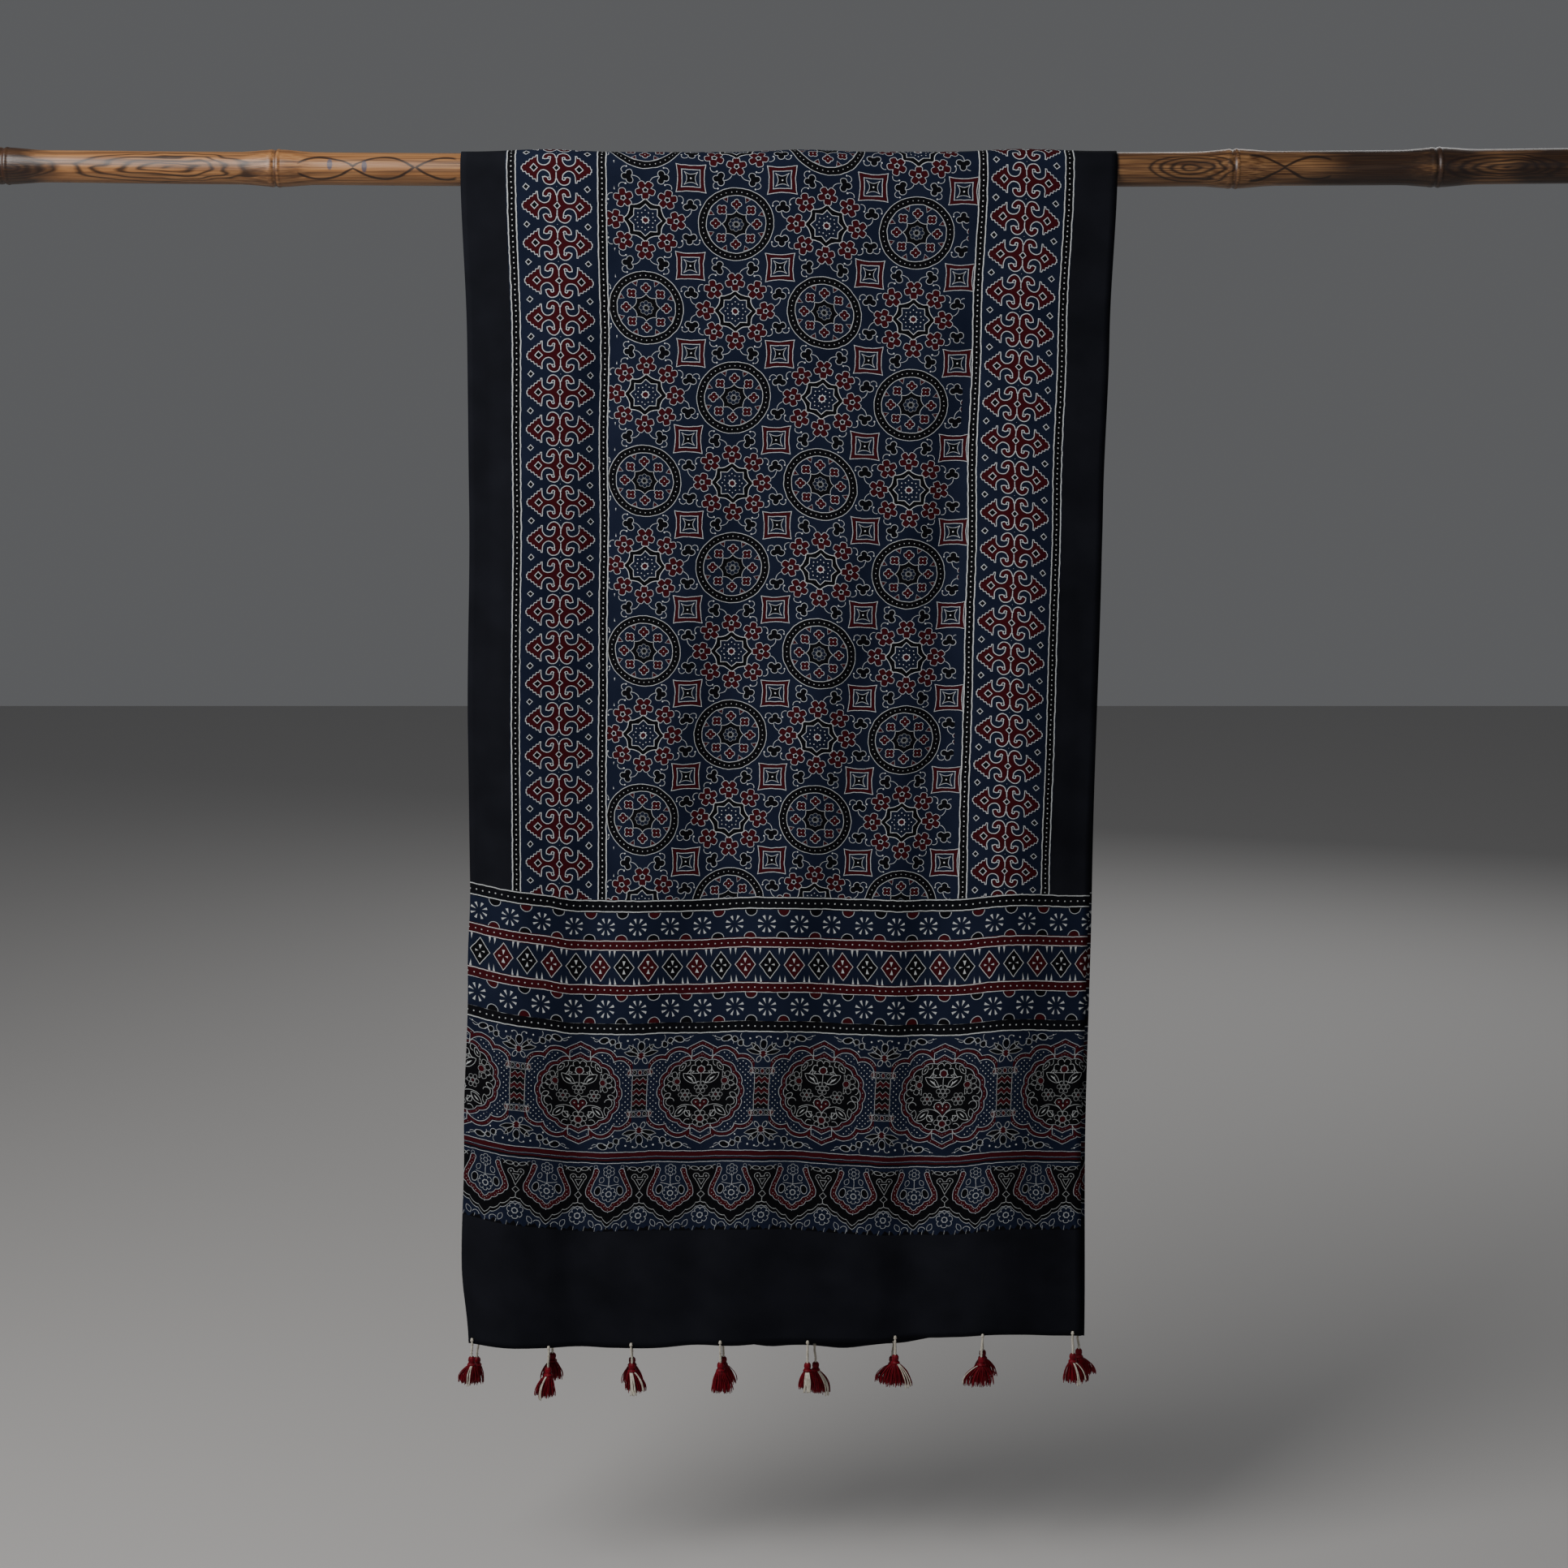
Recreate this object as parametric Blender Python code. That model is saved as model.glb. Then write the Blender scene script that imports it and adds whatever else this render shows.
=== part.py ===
"""A block printed ajrakh stole folded over a bamboo rod, with eight tassels on each end hem.

Units are metres. +X runs along the rod to the right, -Y is the side that faces the viewer and +Z is up.
The origin is on the rod's axis at the middle of the cloth.
"""

import math
import random

import bmesh
import bpy
from mathutils import Vector

# Cloth: a flat length of 0.550 by 2.106 folded once over the rod
CLOTH_WIDTH = 0.550
CLOTH_THICKNESS = 0.0010
FRONT_DROP = 1.0270
BACK_DROP = 1.0370

# Bamboo rod
ROD_LENGTH = 1.400
ROD_RADIUS_LEFT = 0.0132
ROD_RADIUS_RIGHT = 0.0146
ROD_END_RISE = 0.0045
ROD_SIDES = 24
ROD_GAP = 0.0008
JOINT_SWELL = 0.0020
JOINT_HALF_WIDTH = 0.034
JOINT_PLACES = (-0.657, -0.429, -0.205, 0.012, 0.198, 0.3755, 0.546)
CLOTH_SWELL_HALF_WIDTH = 0.062

# Grid of the cloth's solid
COLUMNS = 36
WRAP_ROWS = 12
DROP_ROWS = 15

# Where the side edges of each drop hang, measured from the middle of the rod
FRONT_EDGES = (
    # drop, left, right
    (0.000, -0.2750, 0.2750),
    (0.140, -0.2715, 0.2705),
    (0.280, -0.2720, 0.2675),
    (0.480, -0.2765, 0.2650),
    (0.610, -0.2770, 0.2620),
    (0.690, -0.2805, 0.2600),
    (0.840, -0.2865, 0.2575),
    (0.955, -0.2905, 0.2590),
    (1.027, -0.2855, 0.2605),
)
BACK_EDGES = (
    # drop, left, right
    (0.000, -0.2750, 0.2750),
    (0.300, -0.2710, 0.2700),
    (0.620, -0.2725, 0.2655),
    (0.850, -0.2780, 0.2630),
    (1.037, -0.2840, 0.2650),
)

# How much lower than the mean each part of the hem hangs
FRONT_HEM = (
    # across, lower by
    (-0.275, -0.0010),
    (-0.205, 0.0028),
    (-0.135, 0.0005),
    (-0.055, -0.0038),
    (0.020, -0.0024),
    (0.090, -0.0042),
    (0.160, -0.0090),
    (0.195, -0.0108),
    (0.275, -0.0082),
)
BACK_HEM = (
    # across, lower by
    (-0.275, -0.0070),
    (-0.240, -0.0030),
    (-0.196, -0.0060),
    (-0.135, -0.0040),
    (-0.042, -0.0040),
    (0.000, 0.0030),
    (0.050, 0.0040),
    (0.104, -0.0045),
    (0.150, -0.0085),
    (0.275, -0.0125),
)

# Soft folds of each drop. A fold stands out from the plane of the drop by "out" where it is deepest,
# leans sideways by "lean" for each metre of drop, and fades in between "from" and "full".
FRONT_FOLDS = (
    # across, half width, out, lean, from, full
    (-0.300, 0.085, -0.0150, 0.00, 0.25, 0.95),
    (-0.216, 0.045, 0.0050, -0.03, 0.05, 0.40),
    (-0.155, 0.032, -0.0055, -0.02, 0.03, 0.20),
    (-0.085, 0.055, 0.0060, -0.03, 0.10, 0.60),
    (0.012, 0.050, -0.0050, -0.14, 0.12, 0.50),
    (0.085, 0.048, 0.0065, -0.12, 0.10, 0.45),
    (0.152, 0.034, -0.0060, -0.03, 0.05, 0.30),
    (0.212, 0.044, 0.0055, -0.02, 0.10, 0.50),
    (0.290, 0.060, -0.0070, -0.02, 0.10, 0.60),
)
BACK_FOLDS = (
    # across, half width, out, lean, from, full
    (-0.285, 0.070, -0.0080, 0.02, 0.15, 0.80),
    (-0.190, 0.060, 0.0060, 0.03, 0.08, 0.50),
    (-0.100, 0.050, -0.0055, -0.04, 0.10, 0.50),
    (-0.010, 0.055, 0.0065, 0.05, 0.12, 0.60),
    (0.085, 0.050, -0.0060, 0.03, 0.06, 0.40),
    (0.170, 0.055, 0.0060, -0.03, 0.10, 0.50),
    (0.280, 0.065, -0.0070, 0.00, 0.15, 0.70),
)

# Tassels, from left to right on each hem. cord is the length from the hem to the head, skirt the length from
# the head's top to the tips, spread the width at the tips and lean how far the tips hang to the right.
FRONT_TASSELS = (
    # across, cord, skirt, spread, lean
    (-0.2715, 0.0125, 0.0255, 0.0200, -0.0030),
    (-0.2020, 0.0150, 0.0290, 0.0195, -0.0030),
    (-0.1284, 0.0140, 0.0280, 0.0200, 0.0030),
    (-0.0485, 0.0155, 0.0290, 0.0205, 0.0010),
    (0.0295, 0.0160, 0.0260, 0.0180, 0.0000),
    (0.1080, 0.0130, 0.0300, 0.0310, 0.0010),
    (0.1855, 0.0165, 0.0280, 0.0300, -0.0030),
    (0.2670, 0.0160, 0.0280, 0.0240, 0.0030),
)
BACK_TASSELS = (
    # across, cord, skirt, spread, lean
    (-0.2690, 0.0130, 0.0260, 0.0220, -0.0050),
    (-0.2030, 0.0120, 0.0260, 0.0210, -0.0010),
    (-0.1313, 0.0130, 0.0260, 0.0200, 0.0000),
    (-0.0495, 0.0130, 0.0270, 0.0210, 0.0015),
    (0.0330, 0.0130, 0.0300, 0.0200, 0.0040),
    (0.1040, 0.0120, 0.0260, 0.0260, -0.0040),
    (0.1840, 0.0130, 0.0260, 0.0230, 0.0020),
    (0.2690, 0.0120, 0.0250, 0.0220, 0.0050),
)

# A tassel's cord has two legs that part under the hem and end in a knot on each side of the cloth
CORD_RADIUS = 0.0009
CORD_CLEARANCE = 0.0004
LEGS_PART_AT = 0.30
LEGS_PARTED_BY = 0.40
LEGS_STRAIGHT_FROM = 0.0022
KNOT_RADIUS = 0.0014
KNOT_ABOVE_HEM = 0.0040
KNOT_HALF_HEIGHT = 0.0020
KNOT_CROWN_HEIGHT = 0.0012
KNOT_CROWN_RADIUS = 0.6 * KNOT_RADIUS

# A tassel's bound head
HEAD_SIDES = 6
HEAD_LEAN = 0.25
HEAD_PROFILE = (
    # below the head's top, radius
    (0.0000, 0.0018),
    (0.0016, 0.0029),
    (0.0038, 0.0031),
    (0.0052, 0.0024),
    (0.0072, 0.0040),
    (0.0088, 0.0030),
    (0.0096, 0.0014),
)
ROOT_RINGS = 2
ROOT_INSET = 0.00022

# A tassel's skirt: one ring of outer locks and one of inner locks
SKIRT_DEPTH = 0.0150
SKIRT_UNEVEN = 0.0030
OUTER_LOCK_WIDTH = 0.0024
INNER_LOCK_WIDTH = 0.0018
INNER_LOCK_SPREAD = 0.42
LOCK_BEND = Vector((0.80, 0.85, 0.45))
LOCK_BEND_WIDTH = 0.85
BACK_SEED = 50

INDIGO = (0.016, 0.040, 0.090, 1.0)
CRIMSON = (0.300, 0.006, 0.018, 1.0)
BAMBOO = (0.420, 0.230, 0.090, 1.0)


def finish(name, colour, roughness):
    """A plain material for one kind of piece."""
    made = bpy.data.materials.new(name)
    made.use_nodes = True
    shader = made.node_tree.nodes["Principled BSDF"]
    shader.inputs["Base Color"].default_value = colour
    shader.inputs["Roughness"].default_value = roughness
    shader.inputs["Metallic"].default_value = 0.0
    return made


def add_object(name, shape, material):
    """Turns a bmesh into a named object with its faces pointing out."""
    bmesh.ops.recalc_face_normals(shape, faces=shape.faces)
    mesh = bpy.data.meshes.new(name)
    shape.to_mesh(mesh)
    shape.free()
    mesh.materials.append(material)
    mesh.shade_smooth()
    piece = bpy.data.objects.new(name, mesh)
    bpy.context.scene.collection.objects.link(piece)
    return piece


def fade(low, high, value):
    """0 below low, 1 above high and smooth between them."""
    share = min(1.0, max(0.0, (value - low) / (high - low)))
    return share * share * (3.0 - 2.0 * share)


def hump(distance, half_width):
    """A smooth hump, 1 at no distance and 0 from half_width on."""
    if abs(distance) >= half_width:
        return 0.0
    return math.cos(0.5 * math.pi * distance / half_width) ** 2


def between(table, key, column):
    """Reads a column of a table at key, easing from row to row."""
    if key <= table[0][0]:
        return table[0][column]
    for before, after in zip(table, table[1:]):
        if key <= after[0]:
            share = fade(before[0], after[0], key)
            return before[column] + share * (after[column] - before[column])
    return table[-1][column]


def rod_radius(x, swell_half_width):
    """The rod's radius at x, thicker to the right and swollen at its joints."""
    share = x / ROD_LENGTH + 0.5
    plain = ROD_RADIUS_LEFT + share * (ROD_RADIUS_RIGHT - ROD_RADIUS_LEFT)
    return plain + JOINT_SWELL * max(hump(x - place, swell_half_width) for place in JOINT_PLACES)


def rod_height(x):
    """The rod sags a little, so its ends stand above its middle."""
    return ROD_END_RISE * (2.0 * x / ROD_LENGTH) ** 2


def folds_at(folds, across, drop):
    """How far the folds stand out of a drop's plane."""
    return sum(
        out * hump(across - place - lean * drop, half_width) * fade(start, full, drop)
        for place, half_width, out, lean, start, full in folds
    )


def cloth_point(across, along, out=0.0):
    """A point of the cloth. along is 0 on the rod's top, below 0 to the front hem and above 0 to the back one.

    out moves the point along the cloth's outer side.
    """
    wrap_radius = rod_radius(across, CLOTH_SWELL_HALF_WIDTH) + ROD_GAP + 0.5 * CLOTH_THICKNESS
    quarter = 0.5 * math.pi * wrap_radius
    side = -1.0 if along < 0.0 else 1.0
    if abs(along) <= quarter:
        turn = abs(along) / wrap_radius
        reach = wrap_radius + out
        return Vector((across, side * reach * math.sin(turn), rod_height(across) + reach * math.cos(turn)))
    front = along < 0.0
    edges, hem, folds, mean = (
        (FRONT_EDGES, FRONT_HEM, FRONT_FOLDS, FRONT_DROP)
        if front
        else (BACK_EDGES, BACK_HEM, BACK_FOLDS, BACK_DROP)
    )
    drop = abs(along) - quarter
    share = across / CLOTH_WIDTH + 0.5
    left = between(edges, drop, 1)
    right = between(edges, drop, 2)
    lower = between(hem, across, 1) * drop / mean
    stand = folds_at(folds, across, drop)
    return Vector(
        (
            left + share * (right - left),
            side * (wrap_radius + stand + out),
            rod_height(across) * (1.0 - fade(0.0, 0.2, drop)) - drop - lower,
        )
    )


def quarter_turn(across):
    """The length of cloth from the rod's top to where it leaves the rod."""
    return 0.5 * math.pi * (rod_radius(across, CLOTH_SWELL_HALF_WIDTH) + ROD_GAP + 0.5 * CLOTH_THICKNESS)


def hem_point(across, side, drop):
    """A point of a hem, on the straight run between the two grid columns beside it."""
    place = COLUMNS * (across / CLOTH_WIDTH + 0.5)
    ends = []
    for column in (math.floor(place), math.floor(place) + 1):
        grid_across = CLOTH_WIDTH * (column / COLUMNS - 0.5)
        ends.append(cloth_point(grid_across, side * (quarter_turn(grid_across) + drop)))
    return ends[0].lerp(ends[1], place % 1.0)


def stations(across):
    """Where the rows of the cloth's grid lie along it, from the front hem to the back hem."""
    quarter = quarter_turn(across)
    front = [-quarter - FRONT_DROP * (1.0 - row / DROP_ROWS) for row in range(DROP_ROWS)]
    wrap = [quarter * (2.0 * row / WRAP_ROWS - 1.0) for row in range(WRAP_ROWS + 1)]
    back = [quarter + BACK_DROP * (row + 1) / DROP_ROWS for row in range(DROP_ROWS)]
    return front + wrap + back


def build_cloth(material):
    """The cloth as one thin closed solid: an outer and an inner grid joined round their edges."""
    shape = bmesh.new()
    layers = []
    for out in (0.5 * CLOTH_THICKNESS, -0.5 * CLOTH_THICKNESS):
        grid = []
        for column in range(COLUMNS + 1):
            across = CLOTH_WIDTH * (column / COLUMNS - 0.5)
            rows = stations(across)
            grid.append([shape.verts.new(cloth_point(across, along, out)) for along in rows])
        layers.append(grid)
    rows = len(layers[0][0])
    for grid in layers:
        for column in range(COLUMNS):
            for row in range(rows - 1):
                corners = (
                    grid[column][row],
                    grid[column + 1][row],
                    grid[column + 1][row + 1],
                    grid[column][row + 1],
                )
                shape.faces.new(corners)
    outer, inner = layers
    for column in (0, COLUMNS):
        for row in range(rows - 1):
            shape.faces.new(
                (outer[column][row], outer[column][row + 1], inner[column][row + 1], inner[column][row])
            )
    for row in (0, rows - 1):
        for column in range(COLUMNS):
            shape.faces.new(
                (outer[column][row], outer[column + 1][row], inner[column + 1][row], inner[column][row])
            )
    return add_object("cloth", shape, material)


def rod_stations():
    """Where the rings of the rod lie: its ends, plain lengths and the swelling round each joint."""
    ring_steps = (-1.0, -0.6, -0.3, 0.0, 0.3, 0.6, 1.0)
    places = {-0.5 * ROD_LENGTH, 0.5 * ROD_LENGTH}
    for joint in JOINT_PLACES:
        places.update(joint + step * JOINT_HALF_WIDTH for step in ring_steps)
    return sorted(places)


def build_rod(material):
    """The bamboo rod, a turned solid with flat ends."""
    shape = bmesh.new()
    rings = []
    for x in rod_stations():
        radius = rod_radius(x, JOINT_HALF_WIDTH)
        height = rod_height(x)
        ring = []
        for side in range(ROD_SIDES):
            turn = 2.0 * math.pi * side / ROD_SIDES
            ring.append(shape.verts.new((x, radius * math.cos(turn), height + radius * math.sin(turn))))
        rings.append(ring)
    for before, after in zip(rings, rings[1:]):
        for side in range(ROD_SIDES):
            following = (side + 1) % ROD_SIDES
            shape.faces.new((before[side], before[following], after[following], after[side]))
    shape.faces.new(rings[0])
    shape.faces.new(rings[-1])
    return add_object("bamboo_rod", shape, material)


def grow(shape, face, rings):
    """Extrudes a face through a list of rings, each a list with one point for each corner of the face."""
    for points in rings:
        made = bmesh.ops.extrude_discrete_faces(shape, faces=[face])["faces"]
        face = made[0]
        for corner, point in zip(face.verts, points):
            corner.co = point
    return face


def middle_of(face):
    """The mean of a face's corners."""
    return sum((corner.co for corner in face.verts), Vector()) / len(face.verts)


def cord_leg(top, hem, length, way):
    """The centres and radii of one leg of a tassel's cord, from the head's top up to its knot."""
    reach = 0.5 * CLOTH_THICKNESS + CORD_CLEARANCE + CORD_RADIUS
    apart = (1.0 - LEGS_PARTED_BY) * CORD_RADIUS + LEGS_PARTED_BY * reach
    knot_reach = reach + KNOT_RADIUS - CORD_RADIUS
    return (
        (top + Vector((0.0, way * apart, LEGS_PART_AT * length)), CORD_RADIUS),
        (hem + Vector((0.0, way * reach, -LEGS_STRAIGHT_FROM)), CORD_RADIUS),
        (hem + Vector((0.0, way * reach, KNOT_ABOVE_HEM - KNOT_HALF_HEIGHT)), CORD_RADIUS),
        (hem + Vector((0.0, way * knot_reach, KNOT_ABOVE_HEM)), KNOT_RADIUS),
        (hem + Vector((0.0, way * knot_reach, KNOT_ABOVE_HEM + KNOT_CROWN_HEIGHT)), KNOT_CROWN_RADIUS),
    )


def cord_rings(face, centre_line):
    """Rings round a leg's centres, with their points in the directions of the face's corners."""
    middle = middle_of(face)
    turns = [math.atan2(corner.co.y - middle.y, corner.co.x - middle.x) for corner in face.verts]
    return [
        [place + radius * Vector((math.cos(turn), math.sin(turn), 0.0)) for turn in turns]
        for place, radius in centre_line
    ]


def lock_rings(face, top, tip, width):
    """Square rings for one lock of the skirt: where it bends outwards, and its tip."""
    middle = middle_of(face)
    outward = Vector((middle.x - top.x, middle.y - top.y, 0.0)).normalized()
    sideways = Vector((-outward.y, outward.x, 0.0))
    upper = sorted(face.verts, key=lambda corner: corner.co.z)[-2:]
    root = middle - top
    bend = Vector((LOCK_BEND.x * tip.x, LOCK_BEND.y * tip.y, root.z + LOCK_BEND.z * (tip.z - root.z)))
    rings = []
    for centre, size in ((bend, LOCK_BEND_WIDTH * width), (tip, width)):
        ring = []
        for corner in face.verts:
            way_across = 1.0 if (corner.co - middle).dot(sideways) > 0.0 else -1.0
            way_out = 1.0 if corner in upper else -1.0
            ring.append(top + centre + 0.5 * size * (way_across * sideways + way_out * outward))
        rings.append(ring)
    return rings


def build_head(shape, top):
    """The head's turned sides. Returns the two halves of its top and its bands of side faces."""
    rings = []
    for below, radius in HEAD_PROFILE:
        turns = [2.0 * math.pi * number / HEAD_SIDES for number in range(HEAD_SIDES)]
        points = [top + Vector((radius * math.cos(turn), radius * math.sin(turn), -below)) for turn in turns]
        rings.append([shape.verts.new(point) for point in points])
    bands = []
    for before, after in zip(rings, rings[1:]):
        band = []
        for number in range(HEAD_SIDES):
            following = (number + 1) % HEAD_SIDES
            corners = (before[following], before[number], after[number], after[following])
            band.append(shape.faces.new(corners))
        bands.append(band)
    shape.faces.new(list(reversed(rings[-1])))
    half = HEAD_SIDES // 2
    back_half = shape.faces.new(rings[0][: half + 1])
    front_half = shape.faces.new(rings[0][half:] + rings[0][:1])
    return (front_half, back_half), bands


def build_tassel(name, hem, spec, material, seed):
    """One tassel: a cord that straddles the hem, a bound head and a skirt of separate locks."""
    cord, skirt, spread, lean = spec
    chance = random.Random(seed)
    shape = bmesh.new()
    top = hem + Vector((HEAD_LEAN * lean, 0.0, -cord))
    halves, bands = build_head(shape, top)
    inner_roots, outer_roots = bands[-1], bands[-ROOT_RINGS]
    roots = outer_roots + inner_roots
    bmesh.ops.inset_individual(shape, faces=list(halves) + roots, thickness=ROOT_INSET)
    for face, way in zip(halves, (-1.0, 1.0)):
        grow(shape, face, cord_rings(face, cord_leg(top, hem, cord, way)))
    for face in roots:
        inner = face in inner_roots
        reach = INNER_LOCK_SPREAD if inner else 1.0
        width = INNER_LOCK_WIDTH if inner else OUTER_LOCK_WIDTH
        outward = middle_of(face) - top
        turn = math.atan2(outward.y, outward.x)
        tip = Vector(
            (
                reach * 0.5 * (spread - width) * math.cos(turn) + lean,
                reach * 0.5 * (SKIRT_DEPTH - width) * math.sin(turn),
                chance.uniform(0.0, SKIRT_UNEVEN) - skirt,
            )
        )
        grow(shape, face, lock_rings(face, top, tip, width))
    return add_object(name, shape, material)


def build_hem_tassels(side_name, side, rows, drop, material):
    """A row of tassels along one hem, each hung where the cloth's edge really is."""
    for number, (across, cord, skirt, spread, lean) in enumerate(rows, start=1):
        build_tassel(
            f"tassel_{side_name}_{number}",
            hem_point(across, side, drop),
            (cord, skirt, spread, lean),
            material,
            seed=number + (BACK_SEED if side > 0.0 else 0),
        )


def main():
    for old in list(bpy.data.objects):
        bpy.data.objects.remove(old)
    build_rod(finish("bamboo", BAMBOO, 0.45))
    build_cloth(finish("printed_cloth", INDIGO, 0.80))
    thread = finish("tassel_thread", CRIMSON, 0.75)
    build_hem_tassels("front", -1.0, FRONT_TASSELS, FRONT_DROP, thread)
    build_hem_tassels("back", 1.0, BACK_TASSELS, BACK_DROP, thread)


main()
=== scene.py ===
"""The looks of an ajrakh stole that hangs folded double over a bamboo rod."""

import math
import random

import bpy
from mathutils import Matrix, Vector


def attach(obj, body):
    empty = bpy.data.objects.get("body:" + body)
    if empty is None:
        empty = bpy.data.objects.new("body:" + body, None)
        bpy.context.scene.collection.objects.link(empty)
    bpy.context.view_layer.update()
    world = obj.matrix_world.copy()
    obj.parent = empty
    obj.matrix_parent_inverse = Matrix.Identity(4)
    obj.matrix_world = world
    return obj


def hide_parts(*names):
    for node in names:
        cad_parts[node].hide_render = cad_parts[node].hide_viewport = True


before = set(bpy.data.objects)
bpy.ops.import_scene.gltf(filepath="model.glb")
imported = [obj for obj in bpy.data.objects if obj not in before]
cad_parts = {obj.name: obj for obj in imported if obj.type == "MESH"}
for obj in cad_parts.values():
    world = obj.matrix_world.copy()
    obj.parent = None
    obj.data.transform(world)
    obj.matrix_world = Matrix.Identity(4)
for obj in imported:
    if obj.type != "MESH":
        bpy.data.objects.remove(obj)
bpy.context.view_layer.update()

# The camera stands before the cloth, a little above its middle, and looks slightly down.
CAMERA_PLACE = Vector((-0.0041, -2.649, -0.103))
CAMERA_TILT = 9.0
CAMERA_ANGLE = 28.47

# The cloth, in metres. Along it, the front is negative, the back positive, and 0 lies on top of the rod.
CLOTH_WIDTH = 0.550
SOLID_THICKNESS = 0.0010
SHEET_THICKNESS = 0.0004
FRONT_DROP = 1.0270
BACK_DROP = 1.0370
ROD_LENGTH = 1.400
ROD_RADIUS_LEFT = 0.0132
ROD_RADIUS_RIGHT = 0.0146
ROD_END_RISE = 0.0045
ROD_GAP = 0.0008
JOINT_SWELL = 0.0020
JOINT_HALF_WIDTH = 0.034
JOINT_PLACES = (-0.657, -0.429, -0.205, 0.012, 0.198, 0.3755, 0.546)
CLOTH_SWELL_HALF_WIDTH = 0.062

# Each row gives the drop, then where the left and the right edge of the cloth are.
FRONT_EDGES = (
    (0.000, -0.2750, 0.2750),
    (0.140, -0.2715, 0.2705),
    (0.280, -0.2720, 0.2675),
    (0.480, -0.2765, 0.2650),
    (0.610, -0.2770, 0.2620),
    (0.690, -0.2805, 0.2600),
    (0.840, -0.2865, 0.2575),
    (0.955, -0.2905, 0.2590),
    (1.027, -0.2855, 0.2605),
)
BACK_EDGES = (
    (0.000, -0.2750, 0.2750),
    (0.300, -0.2710, 0.2700),
    (0.620, -0.2725, 0.2655),
    (0.850, -0.2780, 0.2630),
    (1.037, -0.2840, 0.2650),
)

# Each row gives a place across the cloth and how much lower the hem hangs there.
FRONT_HEM = (
    (-0.275, -0.0010),
    (-0.205, 0.0028),
    (-0.135, 0.0005),
    (-0.055, -0.0038),
    (0.020, -0.0024),
    (0.090, -0.0042),
    (0.160, -0.0090),
    (0.195, -0.0108),
    (0.275, -0.0082),
)
BACK_HEM = (
    (-0.275, -0.0070),
    (-0.240, -0.0030),
    (-0.196, -0.0060),
    (-0.135, -0.0040),
    (-0.042, -0.0040),
    (0.000, 0.0030),
    (0.050, 0.0040),
    (0.104, -0.0045),
    (0.150, -0.0085),
    (0.275, -0.0125),
)

# Each fold: its place across, half width, how far it stands out, its lean, and the drops where it starts
# and is full.
FRONT_FOLDS = (
    (-0.300, 0.085, -0.0150, 0.00, 0.25, 0.95),
    (-0.216, 0.045, 0.0050, -0.03, 0.05, 0.40),
    (-0.155, 0.032, -0.0055, -0.02, 0.03, 0.20),
    (-0.085, 0.055, 0.0060, -0.03, 0.10, 0.60),
    (0.012, 0.050, -0.0050, -0.14, 0.12, 0.50),
    (0.085, 0.048, 0.0065, -0.12, 0.10, 0.45),
    (0.152, 0.034, -0.0060, -0.03, 0.05, 0.30),
    (0.212, 0.044, 0.0055, -0.02, 0.10, 0.50),
    (0.290, 0.060, -0.0070, -0.02, 0.10, 0.60),
)
BACK_FOLDS = (
    (-0.285, 0.070, -0.0080, 0.02, 0.15, 0.80),
    (-0.190, 0.060, 0.0060, 0.03, 0.08, 0.50),
    (-0.100, 0.050, -0.0055, -0.04, 0.10, 0.50),
    (-0.010, 0.055, 0.0065, 0.05, 0.12, 0.60),
    (0.085, 0.050, -0.0060, 0.03, 0.06, 0.40),
    (0.170, 0.055, 0.0060, -0.03, 0.10, 0.50),
    (0.280, 0.065, -0.0070, 0.00, 0.15, 0.70),
)

# Tassels, from left to right on each hem: across, cord, skirt, spread and lean, as in the solids.
FRONT_TASSELS = (
    (-0.2715, 0.0125, 0.0255, 0.0200, -0.0030),
    (-0.2020, 0.0150, 0.0290, 0.0195, -0.0030),
    (-0.1284, 0.0140, 0.0280, 0.0200, 0.0030),
    (-0.0485, 0.0155, 0.0290, 0.0205, 0.0010),
    (0.0295, 0.0160, 0.0260, 0.0180, 0.0000),
    (0.1080, 0.0130, 0.0300, 0.0310, 0.0010),
    (0.1855, 0.0165, 0.0280, 0.0300, -0.0030),
    (0.2670, 0.0160, 0.0280, 0.0240, 0.0030),
)
BACK_TASSELS = (
    (-0.2690, 0.0130, 0.0260, 0.0220, -0.0050),
    (-0.2030, 0.0120, 0.0260, 0.0210, -0.0010),
    (-0.1313, 0.0130, 0.0260, 0.0200, 0.0000),
    (-0.0495, 0.0130, 0.0270, 0.0210, 0.0015),
    (0.0330, 0.0130, 0.0300, 0.0200, 0.0040),
    (0.1040, 0.0120, 0.0260, 0.0260, -0.0040),
    (0.1840, 0.0130, 0.0260, 0.0230, 0.0020),
    (0.2690, 0.0120, 0.0250, 0.0220, 0.0050),
)

# A tassel's parts, in metres. Each row of the head gives how far it is below the top, and its radius.
SOLID_COLUMNS = 36
CORD_RADIUS = 0.0009
CORD_CLEARANCE = 0.0004
LEGS_PART_AT = 0.30
LEGS_PARTED_BY = 0.40
KNOT_RADIUS = 0.0014
KNOT_ABOVE_HEM = 0.0040
HEAD_LEAN = 0.25
HEAD_PROFILE = (
    (0.0000, 0.0018),
    (0.0016, 0.0029),
    (0.0038, 0.0031),
    (0.0052, 0.0024),
    (0.0072, 0.0040),
    (0.0088, 0.0030),
    (0.0096, 0.0014),
)
NECK_BELOW = 0.0056
NECK_TURNS = 3
SKIRT_DEPTH = 0.0150
SKIRT_UNEVEN = 0.0030
SKIRT_THREADS = 84
THREAD_RADIUS = 0.00042
GOLDEN_TURN = 2.39996

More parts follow.
